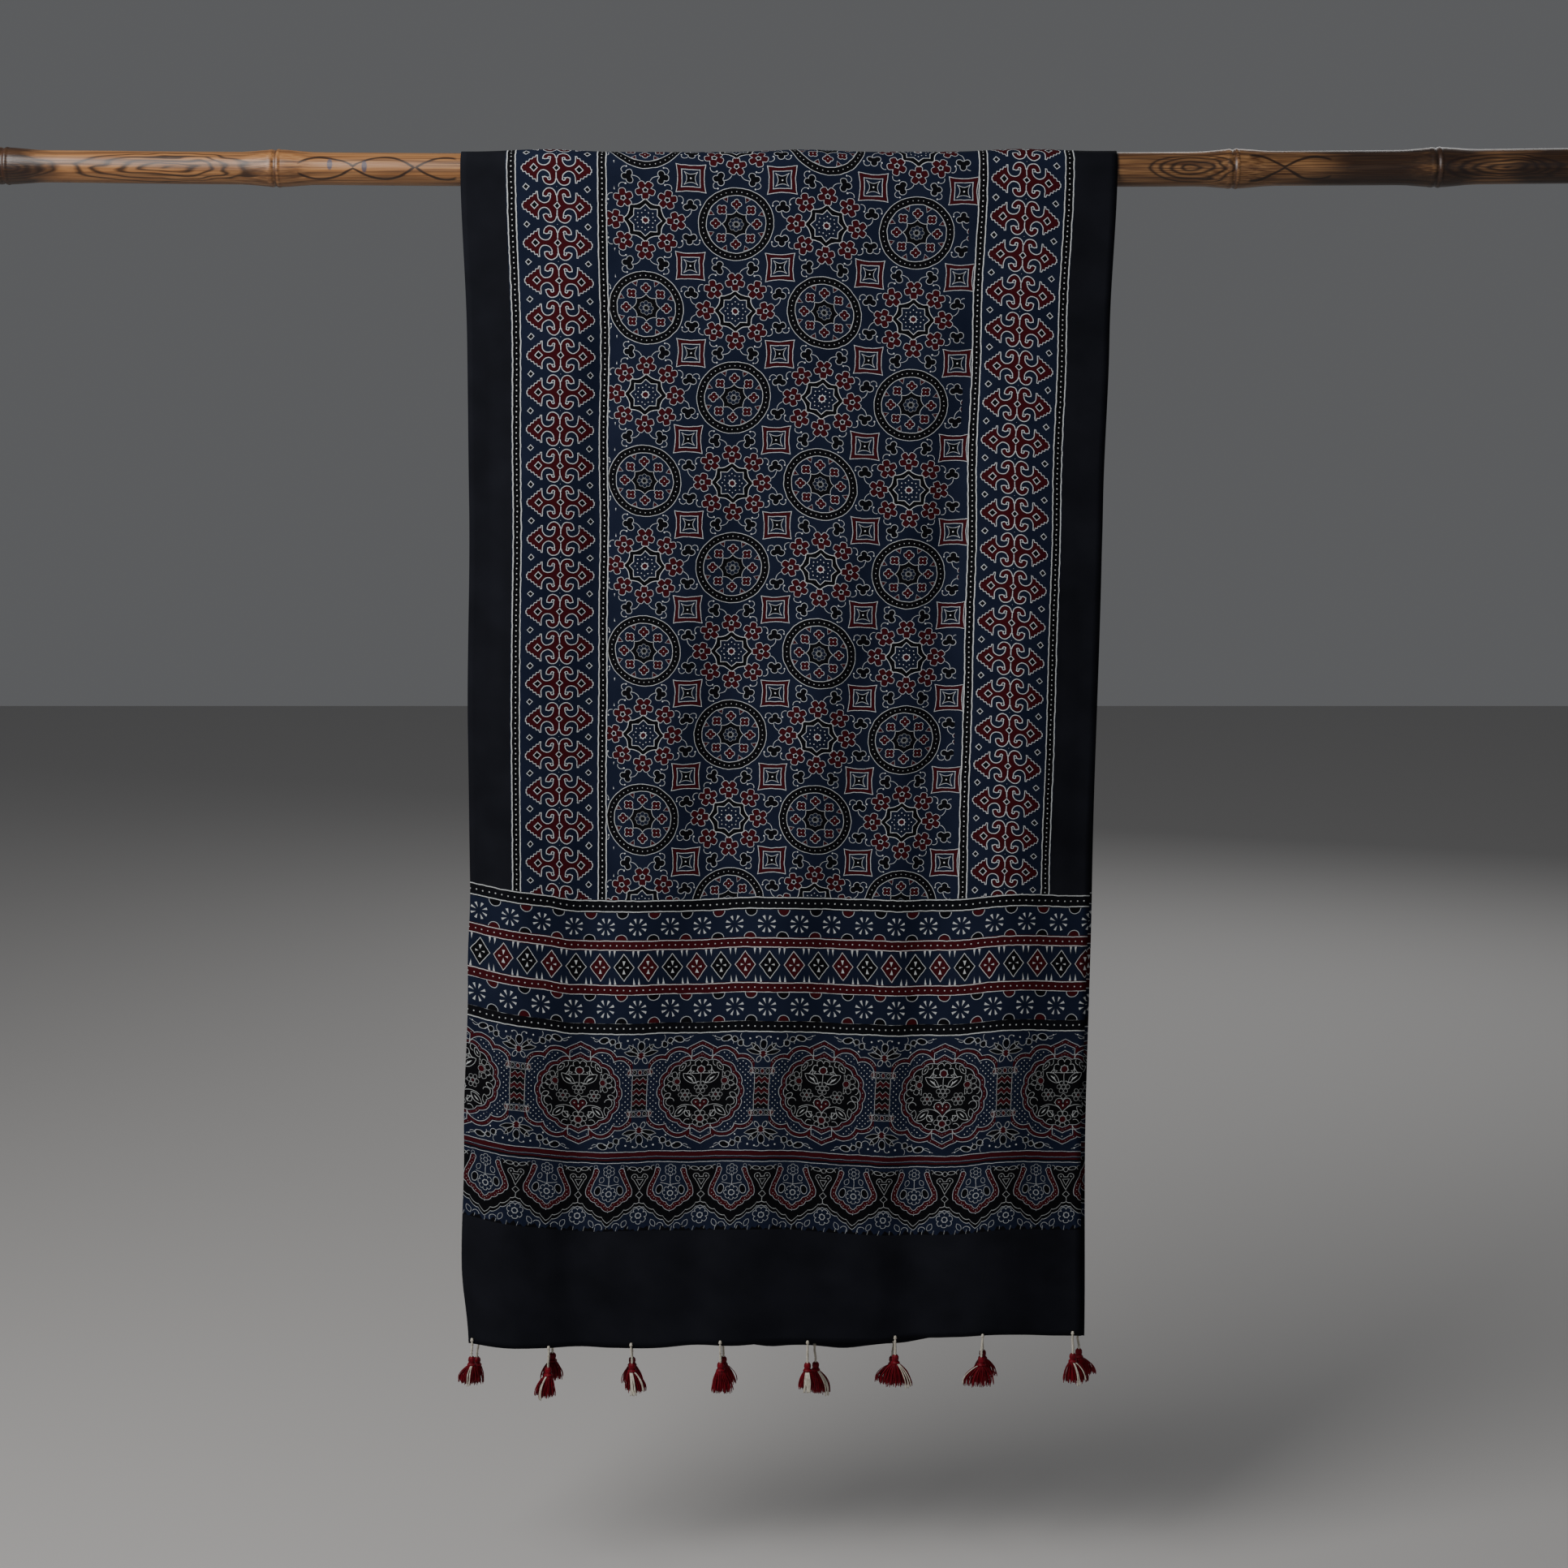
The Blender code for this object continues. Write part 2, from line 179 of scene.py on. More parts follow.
# White threads of a skirt: the way each one faces, in degrees, and its share of the skirt's length.
WHITE_THREADS = {
    "tassel_front_1": ((-96.0, 1.0), (-84.0, 0.98)),
    "tassel_front_2": ((-118.0, 0.98), (-112.0, 1.0)),
    "tassel_front_3": (
        (-112.0, 1.0),
        (-106.0, 1.0),
        (-100.0, 1.02),
        (-94.0, 0.99),
        (-88.0, 1.0),
        (-52.0, 0.8),
        (-46.0, 0.82),
    ),
    "tassel_front_5": (
        (-110.0, 0.98),
        (-102.0, 0.96),
        (-95.0, 0.98),
        (-88.0, 0.95),
        (-81.0, 0.97),
        (-74.0, 0.95),
    ),
    "tassel_front_6": ((-60.0, 0.98), (-50.0, 0.96), (-40.0, 0.9)),
    "tassel_front_7": ((-150.0, 0.8),),
    "tassel_front_8": ((-84.0, 1.0), (-78.0, 0.98), (-50.0, 0.75)),
    "tassel_back_5": ((-60.0, 1.0), (-50.0, 0.98), (-40.0, 1.0)),
}

# Thread colours: painted shade between the strands, and the thread's own colour on them.
RED_THREAD = ((0.050, 0.0004, 0.0030, 1.0), (0.240, 0.0010, 0.0120, 1.0))
WHITE_THREAD = ((0.330, 0.300, 0.240, 1.0), (0.760, 0.720, 0.620, 1.0))

# The scar and the groove at each joint: how far along from it, half width and height.
JOINT_RELIEF = (
    (0.0006, 0.0022, 0.00055),
    (-0.0026, 0.0020, -0.0006),
    (-0.0060, 0.0030, 0.0003),
)

# The rod's mesh and colours
ROD_SIDES = 48
ROD_STEP = 0.010
ROD_STRIPS = 6
ROD_TAN = (0.250, 0.105, 0.036, 1.0)
ROD_PALE = (0.420, 0.220, 0.090, 1.0)
ROD_BROWN = (0.085, 0.032, 0.011, 1.0)
ROD_UMBER = (0.040, 0.015, 0.007, 1.0)
ROD_SCORCH = (0.014, 0.006, 0.004, 1.0)
DYE_BLUE = (0.050, 0.052, 0.085, 1.0)

# Marks on the rod, in millimetres: places and sizes along it, and for the dye how high it is on the front.
SMOKY_PLACES = ((-650.0, 30.0), (505.0, 60.0), (550.0, 30.0), (640.0, 30.0), (0.0, 60.0))
SCORCHED_OVALS = (
    (-525.0, 76.0, 14.0),
    (-655.0, 40.0, 9.0),
    (338.0, 34.0, 12.0),
    (600.0, 50.0, 11.0),
)
DYE_SPOTS = ((-384.5, 3.0), (-355.5, 1.0))

# Half of one turn round the rod, and the scorched loops: where they start, how long each is, and the middles
# and half lengths of the stretches that have them.
HALF_ROUND = 22.0
LOOP_START = -417.0
LOOP_LENGTH = 52.0
LOOP_PLACES = ((-345.0, 66.0), (420.0, 34.0))

# Fine creases of the front drop, in millimetres on the print: from, to, half width and how far out.
CREASES = (
    (18, 90, 21, 560, 7, -0.9),
    (29, 160, 30, 480, 5, 0.7),
    (120, 20, 112, 420, 12, -1.2),
    (330, 120, 210, 330, 16, -1.0),
    (420, 210, 300, 470, 18, 1.1),
    (450, 420, 330, 620, 18, -1.2),
    (436, 10, 430, 300, 11, -1.3),
    (250, 480, 180, 640, 15, 0.9),
    (60, 620, 150, 760, 18, -1.0),
    (520, 120, 528, 700, 8, 0.8),
    (380, 820, 330, 1010, 16, 1.0),
    (90, 900, 100, 1020, 14, -0.9),
)

# The print, in millimetres: s across from the left edge, v down the cloth from level with the rod's axis.
TOP_TURN = 24.0
BACK_SHIFT = 10.0
COLUMN_LINES = (0.0, 37.6, 47.1, 113.3, 122.2, 432.9, 441.1, 505.3, 514.1, 550.0)
COLUMN_ZONES = ("margin", "strip", "border", "strip", "field", "strip", "border", "strip", "margin")
ROW_LINES = (617.5, 629.3, 654.4, 664.6, 695.6, 705.0, 730.4, 740.6, 845.2, 856.3, 918.0)
ROW_ZONES = (
    "",
    "black_dots",
    "pinwheels",
    "red_dots",
    "diamonds",
    "red_dots",
    "pinwheels",
    "black_dots",
    "medallions",
    "stripes",
    "arches",
    "end",
)
STRIP_MIDDLES = (42.35, 117.75, 437.0, 509.7)
BORDER_MIDDLES = (80.2, 473.2)

# Where the motifs start and how far apart they are: the field across and down, the left and right borders,
# the middles of the bands, and the medallions and arches.
FIELD_START = (153.8, 41.2)
FIELD_PITCH = (76.25, 72.6)
FIELD_RIGHT = 426.5
SQUARE_LEFT = 140.0
BORDER_PITCHES = (30.8, 31.6)
BANDS_MIDDLE = 680.1
BLACK_BANDS_MIDDLE = 679.05
PINWHEEL_PITCH = 28.6
DIAMOND_PITCH = 21.5
MEDALLION_MIDDLE = (209.4, 792.9)
MEDALLION_PITCH = 107.9
STRIPES_MIDDLE = 850.75
ARCH_MIDDLE = 237.4
ARCH_PITCH = 54.4

# The steps of the cloth's mesh: on the drops, and over the rod.
GRID_STEP = 6.0
TURN_STEP = 2.0

# How the printed bands hang, in millimetres. Each row gives how far down the cloth it is, how much lower than
# level the print lies there, how far it climbs towards the left edge, and how much lower it lies on the
# right.
BAND_HANGS = (
    (617.5, 3.5, 14.0, 3.0),
    (695.6, 0.5, 15.0, 5.0),
    (845.2, 1.0, 11.5, 9.5),
)
BAND_CLIMB_WIDTH = 90.0
BAND_FALL_START = 230.0
BAND_FALL_WIDTH = 160.0

# Where the bands sag: the place across, half width and depth.
BAND_SAGS = (
    (105.0, 40.0, 1.5),
    (207.0, 45.0, 2.5),
    (430.0, 80.0, 3.5),
)

INK_BLUE = (0.0046, 0.0080, 0.0215, 1.0)
INK_BLACK = (0.0024, 0.0025, 0.0038, 1.0)
INK_RED = (0.042, 0.0030, 0.0056, 1.0)
INK_WHITE = (0.660, 0.690, 0.700, 1.0)
# The end panel's white is darker than the field's: partly painted shade for the light falling off towards the
# hem, partly for its finer lines blurring into the ground.
SHADED_PANEL_WHITE = (0.530, 0.555, 0.560, 1.0)
FADED_BLUE = (0.0098, 0.0145, 0.0340, 1.0)
DYED_BLACK = (0.0044, 0.0050, 0.0076, 1.0)
FADED_BLACK = (0.0100, 0.0108, 0.0160, 1.0)

# The ground of the zones that aren't blue: its colour and what it fades to.
GROUNDS = {
    "margin": (DYED_BLACK, FADED_BLACK),
    "end": (DYED_BLACK, FADED_BLACK),
    "black_dots": (INK_BLACK, DYED_BLACK),
    "red_dots": (INK_RED, INK_RED),
}

# How soft the edges of the inks are and how far the print wanders, in millimetres, and how full white and the
# other inks are at their drawn edges.
INK_BLUR = 0.35
WANDER = 1.3
WHITE_LEVEL = -0.45
INK_LEVEL = 0.5

# Curls inside a medallion: place, radius, the way of the middle, half turn and width.
FILLING_CURLS = (
    (4.6, -12.2, 3.6, 60.0, 80.0, 1.0),
    (13.0, -26.4, 3.0, 200.0, 110.0, 1.0),
    (29.4, -3.6, 2.9, -30.0, 120.0, 1.0),
    (12.0, 25.4, 14.4, -98.0, 44.0, 1.0),
    (26.6, 8.8, 3.6, -40.0, 130.0, 1.0),
    (10.8, 18.8, 2.9, 60.0, 120.0, 1.0),
    (11.4, 27.0, 3.2, -20.0, 110.0, 1.0),
    (21.4, 23.4, 2.4, 10.0, 110.0, 0.95),
)

# Sizes of the cloth's part of the baked map, in millimetres.
BAKE_WIDTH = 1130.0
BAKE_LENGTH = 1066.0

# Lights: name, place, where each points, size, power and tint.
LIGHTS = (
    ("key", (-1.15, -1.1, 0.7), (-0.1, 0.0, -0.4), 1.2, 41.0, (1.0, 0.98, 0.96)),
    ("fill", (1.6, -3.0, 0.0), (0.0, 0.0, -0.6), 2.2, 3.5, (0.93, 0.96, 1.0)),
    ("rear", (1.0, 2.8, 0.9), (0.0, 0.0, -0.5), 1.8, 22.0, (1.0, 1.0, 1.0)),
)
FLOOR_HEIGHT = -1.25
FLOOR_HALF_WIDTH = 6.0
FLOOR_COLOUR = (0.52, 0.51, 0.50, 1.0)
SKY_COLOUR = (0.55, 0.56, 0.58, 1.0)
SKY_STRENGTH = 0.20


class Num:
    """A number that shader nodes work out at each point of a surface."""

    def __init__(self, tree, socket):
        self.tree = tree
        self.socket = socket

    def __add__(self, other):
        return maths("ADD", self, other)

    def __radd__(self, other):
        return maths("ADD", other, self)

    def __sub__(self, other):
        return maths("SUBTRACT", self, other)

    def __rsub__(self, other):
        return maths("SUBTRACT", other, self)

    def __mul__(self, other):
        return maths("MULTIPLY", self, other)

    def __rmul__(self, other):
        return maths("MULTIPLY", other, self)

    def __truediv__(self, other):
        return maths("DIVIDE", self, other)

    def __neg__(self):
        return maths("MULTIPLY", self, -1.0)

    def __abs__(self):
        return maths("ABSOLUTE", self)


class Point:
    """A place on the print, in millimetres, that shader nodes work out."""

    def __init__(self, tree, socket):
        self.tree = tree
        self.socket = socket
        self.parts = None

    def part(self, which):
        if self.parts is None:
            node = self.tree.nodes.new("ShaderNodeSeparateXYZ")
            self.tree.links.new(self.socket, node.inputs[0])
            self.parts = node.outputs
        return Num(self.tree, self.parts[which])

    @property
    def x(self):
        return self.part(0)

    @property
    def y(self):
        return self.part(1)


def feed(node, place, value):
    """Gives an input of a node a constant, or links it to a worked-out value."""
    if isinstance(value, (Num, Point)):
        value.tree.links.new(value.socket, node.inputs[place])
    elif isinstance(value, tuple):
        node.inputs[place].default_value = tuple(value) + (0.0,) * (3 - len(value))
    else:
        node.inputs[place].default_value = value


def maths(operation, *values, clamp=False):
    """One step of arithmetic."""
    tree = next(value.tree for value in values if isinstance(value, Num))
    node = tree.nodes.new("ShaderNodeMath")
    node.operation = operation
    node.use_clamp = clamp
    for place, value in enumerate(values):
        feed(node, place, value)
    return Num(tree, node.outputs[0])


def vector_maths(operation, *values):
    """One step of arithmetic on points. Returns the node."""
    tree = next(value.tree for value in values if isinstance(value, (Num, Point)))
    node = tree.nodes.new("ShaderNodeVectorMath")
    node.operation = operation
    for place, value in enumerate(values):
        feed(node, place, value)
    return node


def point_of(x, y):
    tree = x.tree
    node = tree.nodes.new("ShaderNodeCombineXYZ")
    feed(node, 0, x)
    feed(node, 1, y)
    return Point(tree, node.outputs[0])


def least(first, *others):
    for other in others:
        first = maths("MINIMUM", first, other)
    return first


def most(first, *others):
    for other in others:
        first = maths("MAXIMUM", first, other)
    return first


def length(point):
    return Num(point.tree, vector_maths("LENGTH", point).outputs[1])


def distance(point, x, y):
    """How far the point is from (x, y)."""
    return Num(point.tree, vector_maths("DISTANCE", point, (x, y)).outputs[1])


def shifted(point, x, y):
    """The point as seen from (x, y)."""
    return Point(point.tree, vector_maths("SUBTRACT", point, (x, y)).outputs[0])


def heading(angle):
    turn = math.radians(angle)
    return math.cos(turn), math.sin(turn)


def beyond(point, angle, offset):
    """How far the point lies past a straight line, offset from the origin, that faces the way of angle."""
    reach = Num(point.tree, vector_maths("DOT_PRODUCT", point, heading(angle)).outputs[1])
    return reach - offset if offset else reach


def folded(point, angle):
    """Mirrors what lies anticlockwise of the ray at angle on to its other side."""
    over = most(beyond(point, angle + 90.0, 0.0), 0.0)
    across, up = heading(angle)
    node = vector_maths("MULTIPLY_ADD", over, (2.0 * up, -2.0 * across), point)
    return Point(point.tree, node.outputs[0])


def turned(point, angle):
    """The point in axes that are turned anticlockwise by angle."""
    return point_of(beyond(point, angle, 0.0), beyond(point, angle + 90.0, 0.0))


def wave(value, half_period):
    """0 at every whole period and half_period midway."""
    return maths("PINGPONG", value, half_period)


def repeat(value, period):
    """The value from the middle of the repeat that it lies in."""
    return maths("WRAP", value, 0.5 * period, -0.5 * period)


def line(edge, width):
    """A line of this width along an edge."""
    return abs(edge) - 0.5 * width


def rim(edge, width):
    """A line of this width just outside an edge."""
    return line(edge - 0.5 * width, width)


def arc(point, x, y, radius, middle, half_turn, width):
    """A line along part of a circle round (x, y), within half_turn of the way to its middle."""
    local = shifted(point, x, y)
    ring = line(length(local) - radius, width)
    cut = radius * math.cos(math.radians(half_turn))
    return most(ring, -beyond(local, middle, cut))


def stroke(point, x0, y0, x1, y1, width):
    """A straight line from one place to another."""
    span = math.hypot(x1 - x0, y1 - y0)
    middle = shifted(point, 0.5 * (x0 + x1), 0.5 * (y0 + y1))
    local = turned(middle, math.degrees(math.atan2(y1 - y0, x1 - x0)))
    past = most(abs(local.x) - 0.5 * span, 0.0)
    return length(point_of(past, local.y)) - 0.5 * width


def oval(point, x, y, half_long, half_wide, angle):
    """Roughly how far the point is outside an oval, which points the way of angle."""
    local = turned(shifted(point, x, y), angle)
    stretched = point_of(local.x * (half_wide / half_long), local.y)
    return length(stretched) - half_wide


def leaf(point, x, y, half_long, half_wide, angle):
    """A pointed leaf, bounded by two arcs."""
    local = turned(shifted(point, x, y), angle)
    radius = (half_long * half_long + half_wide * half_wide) / (2.0 * half_wide)
    return length(point_of(local.x, abs(local.y) + (radius - half_wide))) - radius


def diamond(point, x, y, half_wide, half_high):
    """A diamond with its corners on the two axes."""
    local = shifted(point, x, y)
    span = math.hypot(half_wide, half_high)
    reach = abs(local.x) * (half_high / span) + abs(local.y) * (half_wide / span)
    return reach - half_wide * half_high / span


def box(x, y, half_x, half_y):
    return most(abs(x) - half_x, abs(y) - half_y)


class Inks:
    """The inks of one zone: for each, a distance in millimetres that is below zero where the ink lies."""

    def __init__(self):
        self.edges = {"red": None, "black": None, "white": None}

    def add(self, name, *edges):
        start = [self.edges[name]] if self.edges[name] else []
        self.edges[name] = least(*start, *edges)

    def red(self, *edges):
        self.add("red", *edges)

    def black(self, *edges):
        self.add("black", *edges)

    def white(self, *edges):
        self.add("white", *edges)


def petals(point, count, inner, outer, half_wide, first):
    """Round-ended petals about the origin, from one radius to another, the first the way of first."""
    part = 360.0 / count
    angle = maths("ARCTAN2", point.y, point.x)
    near = repeat(angle - math.radians(first), math.radians(part))
    reach = length(point)
    local = point_of(reach * maths("COSINE", near), abs(reach * maths("SINE", near)))
    half_long = 0.5 * (outer - inner)
    past_x = most(abs(local.x - (inner + half_long)) - (half_long - 0.7 * half_wide), 0.0)
    past_y = most(local.y - 0.3 * half_wide, 0.0)
    return length(point_of(past_x, past_y)) - 0.7 * half_wide


def flower_ink(inks, point, count, inner, outer, half_wide, first, eye):
    """A flower of outlined red petals round a ringed black eye."""
    edge = petals(point, count, inner, outer, half_wide, first)
    reach = length(point)
    inks.red(edge)
    inks.white(most(rim(edge, 1.0), eye - reach), line(reach - eye, 1.0))
    inks.black(reach - eye + 0.5)


def star_ink(inks, point):
    """The eight-pointed star, its flowers and vines, in the eighth of a turn above the x axis."""
    reach = length(point)
    half = folded(point, 22.5)
    inks.red(reach - 2.0)
    spikes = most(abs(half.y) + 0.35 * half.x - 1.7, reach - 4.8)
    inks.white(most(2.0 - reach, least(reach - 3.3, spikes)))
    inks.white(distance(half, 8.4, 0.0) - 0.75, distance(point, *(6.9 * c for c in heading(22.5))) - 0.75)
    tilted = most(beyond(point, 45.0, 9.55), beyond(point, -45.0, 9.55))
    inner = least(tilted, most(point.x - 9.55, point.y - 9.55))
    outer = 12.2 - distance(half, *(27.4 * c for c in heading(22.5)))
    scallop = most(outer, reach - 18.0)
    inks.black(most(-inner, scallop))
    inks.white(line(inner, 1.1), most(line(outer, 1.2), reach - 18.4))
    flower = shifted(half, 25.6, 0.0)
    flower_ink(inks, flower, 5, 2.3, 7.7, 2.4, 180.0, 1.8)
    inks.white(arc(point, 27.9, 18.5, 3.3, 40.0, 72.0, 1.0), distance(point, 30.5, 16.2) - 1.0)
    inks.white(arc(point, 31.3, 10.4, 6.6, -35.0, 40.0, 1.0))
    lobes = least(*(distance(point, x, y) for x, y in ((36.8, 16.7), (33.9, 12.8), (39.9, 13.0))))
    trefoil = least(lobes - 2.3, distance(point, 36.8, 14.3) - 2.6)
    inks.black(trefoil)
    inks.white(rim(trefoil, 1.0), distance(point, 45.1, 15.4) - 0.95)
    inks.white(arc(point, 42.5, 16.9, 2.7, 70.0, 85.0, 1.0))


def roundel_ink(inks, point):
    """The round medallion of the field, in the eighth of a turn above the x axis."""
    reach = length(point)
    half = folded(point, 22.5)
    ring = abs(reach - 27.95)
    inks.black(ring - 3.2)
    angle = maths("ARCTAN2", point.y, point.x)
    dot = point_of(reach - 27.9, repeat(angle, math.radians(9.0)) * 27.9)
    inks.white(line(ring - 3.25, 1.05), length(dot) - 0.68)
    cushion = shifted(half, 17.0, 0.0)
    high = most(abs(cushion.x), abs(cushion.y))
    low = least(abs(cushion.x), abs(cushion.y))
    edge = least(distance(point_of(high, low), 2.35, 0.0) - 1.5, length(cushion) - 2.5)
    inks.red(edge)
    inks.white(rim(edge, 1.0), length(cushion) - 0.75)
    arcs = 8.0 - distance(half, *(17.5 * c for c in heading(22.5)))
    petal = distance(half, 4.3, 0.0) - 1.8
    inks.black(most(arcs, reach - 12.2, -petal))
    inks.white(most(line(arcs, 1.0), reach - 12.2), line(petal, 0.75), line(reach - 2.0, 0.8))
    inks.red(reach - 1.6)
    across = abs(beyond(half, 112.5, 0.0))
    tooth = (across * 5.1 - (beyond(half, 22.5, 19.0)) * 2.9) * (1.0 / 5.87)
    tooth = most(tooth, reach - 24.4)
    inks.red(tooth + 0.7)
    inks.white(line(tooth + 0.4, 0.8))


def square_ink(inks, a, b):
    """The concave square between the round motifs, with a the distance from its middle to the side."""
    outer = a - 11.4 - b * b * 0.009
    inks.red(line(outer + 2.2, 2.5))
    inks.white(line(outer + 0.5, 1.1), line(outer + 3.9 + b * 0.05, 1.1))
    core = most(a - 3.0 - b * b * 0.07, a - 5.0)
    inks.black(core)
    inks.white(rim(core, 1.0), a * a + b * b - 0.8)


def field_print(s, v):
    """The field: round medallions and stars by turns, with a small square between each four."""
    inks = Inks()
    u = wave((s - FIELD_START[0]) * (75.0 / FIELD_PITCH[0]), 75.0)
    w = wave((v - FIELD_START[1]) * (75.0 / FIELD_PITCH[1]), 75.0)
    over = most(u + w - 75.0, 0.0)
    u = u - over
    w = w - over
    x = most(u, w)
    y = least(u, w)
    star_ink(inks, point_of(x, y))
    roundel_ink(inks, point_of(75.0 - x, y))
    for name, edge in inks.edges.items():
        inks.edges[name] = most(edge, s - FIELD_RIGHT)
    square_ink(inks, most(37.5 - y, SQUARE_LEFT - s), abs(x - 37.5))
    return inks


def border_print(s, v):
    """The cloud border: mirrored scrolls and arrowheads, stacked down the cloth."""
    inks = Inks()
    x = least(abs(s - BORDER_MIDDLES[0]), abs(s - BORDER_MIDDLES[1]))
    left_v = v - 5.0 + (s - BORDER_MIDDLES[0]) * 0.037
    right_v = (v + 3.9 - (s - BORDER_MIDDLES[1]) * 0.065) * (BORDER_PITCHES[0] / BORDER_PITCHES[1])
    on_right = maths("GREATER_THAN", s, 500.0 * CLOTH_WIDTH)
    y = abs(repeat(left_v + on_right * (right_v - left_v), BORDER_PITCHES[0]))
    point = point_of(x, y)
    hollow = length(point_of(x - 10.45, least(y - 7.4, 0.0))) - 5.4
    edge_along = beyond(point, 143.4, 0.0)
    barb = beyond(point, 53.4, 18.6) + wave(edge_along, 1.7) * 0.7
    heart = most(0.55 - hollow, x - 28.4, barb, least(10.0 - x, y - 8.5), 0.65 - x)
    hook = most(line(distance(point, 6.0, 8.6) - 3.35, 2.9), 8.4 - y)
    shape = least(heart, hook, distance(point, 9.2, 9.4) - 1.5)
    middle = diamond(point, 0.0, 0.0, 3.4, 3.4)
    eye = diamond(point, 18.9, 0.0, 3.9, 3.9)
    small = diamond(point, 25.5, 15.4, 3.3, 3.3)
    jewels = least(middle, eye)
    inks.red(most(shape, -jewels))
    inks.black(jewels + 1.15, small + 1.1)
    inks.white(most(rim(shape, 1.25), -jewels), line(jewels + 0.55, 1.2), line(small + 0.55, 1.15))
    inks.white(length(point_of(x, y - 15.4)) - 0.5)
    return inks


def strip_print(s, v):
    """The narrow upright strips: white dots on black between two white lines."""
    inks = Inks()
    across = least(*(abs(s - middle) for middle in STRIP_MIDDLES))
    inks.black(across - 3.5)
    inks.white(line(across - 3.5, 1.5), length(point_of(across, repeat(v, 4.4))) - 0.85)
    return inks


def black_dots_print(s, v):
    """A black band with white dots between two white lines."""
    inks = Inks()
    middle = abs(abs(v - BLACK_BANDS_MIDDLE) - 55.85)
    inks.white(line(middle - 4.9, 1.5), length(point_of(repeat(s, 5.8), middle)) - 0.95)
    return inks


def red_dots_print(s, v):
    """A red band with white dots between two white lines."""
    inks = Inks()
    middle = abs(abs(v - BANDS_MIDDLE) - 20.5)
    inks.white(line(middle - 4.2, 1.4), length(point_of(repeat(s, 5.8), middle)) - 0.9)
    return inks


def pinwheel_print(s, v):
    """Rows of eight-bladed pinwheels with half moons on both lines midway between them."""
    inks = Inks()
    y = abs(v - 679.9) - 37.8
    x = repeat(s - 8.4, PINWHEEL_PITCH)
    wheel = folded(folded(point_of(abs(x), abs(y)), 45.0), 22.5)
    along = beyond(wheel, 22.5, 0.0)
    blade = abs(beyond(wheel, 112.5, 0.0)) - (along - 2.0) * 0.24
    inks.white(most(blade, along - 8.3))
    side = abs(repeat(s - 22.7, PINWHEEL_PITCH))
    moon = length(point_of(side, 12.6 - abs(y))) - 4.6
    turn = repeat(s - 8.4, 2.0 * PINWHEEL_PITCH) * repeat(y + 30.0, 60.0)
    inks.black(most(moon, turn))
    inks.red(most(moon, -turn))
    inks.white(rim(moon, 1.15))
    return inks


def diamonds_print(s, v):
    """A row of tall outlined diamonds, red and black by turns, each with a white cross."""
    inks = Inks()
    y = abs(v - BANDS_MIDDLE)
    x = abs(repeat(s - 11.0, DIAMOND_PITCH))
    edge = diamond(point_of(x, y), 0.0, 0.0, 9.6, 13.4)
    pick = repeat(s - 21.75, 2.0 * DIAMOND_PITCH)
    inks.black(most(edge, pick))
    inks.red(most(edge, -pick))
    petal = least(most(x - (y - 0.6) * 0.32, y - 6.2), most(y - (x - 0.6) * 0.34, x - 4.6))
    spike = most(abs(x - 8.5) - (y - 7.6) * 0.16, 7.8 - y)
    inks.white(line(edge + 0.5, 1.2), petal, spike)
    return inks


def dotted(x, y, pitch, radius):
    """Dots on a square lattice that stands on its corners."""
    half = 0.5 * pitch
    a = wave(x, half)
    b = wave(y, half)
    point = point_of(a, b)
    return least(length(point), distance(point, half, half)) - radius


def ogee_edge(x, y):
    """The lobed outline round a medallion, in one quarter of it."""
    point = point_of(x, y)
    peak = most(beyond(point, 64.0, 41.9), x - 13.4)
    lobes = least(distance(point, 19.5, 25.5) - 15.6, distance(point, 35.4, 19.6) - 14.2)
    return least(peak, lobes, box(x, y, 52.0, 21.0))


def medallion_edge(x, y):
    """The scalloped outline of the inner medallion, in one quarter of it."""
    oval_point = point_of(x, y * 1.12)
    reach = length(oval_point)
    bump = wave(maths("ARCTAN2", oval_point.y, oval_point.x), math.radians(11.25)) * 7.0
    peak = most(beyond(point_of(x, y), 62.0, 32.6), x - 10.5)
    return least(reach - 39.3 + bump * bump, peak)


def cluster(point, x, y):
    """Seven small rings packed together."""
    local = shifted(point, x, y)
    sixth = folded(folded(point_of(abs(local.x), abs(local.y)), 60.0), 30.0)
    return least(length(local), distance(sixth, 4.0, 0.0)) - 1.75


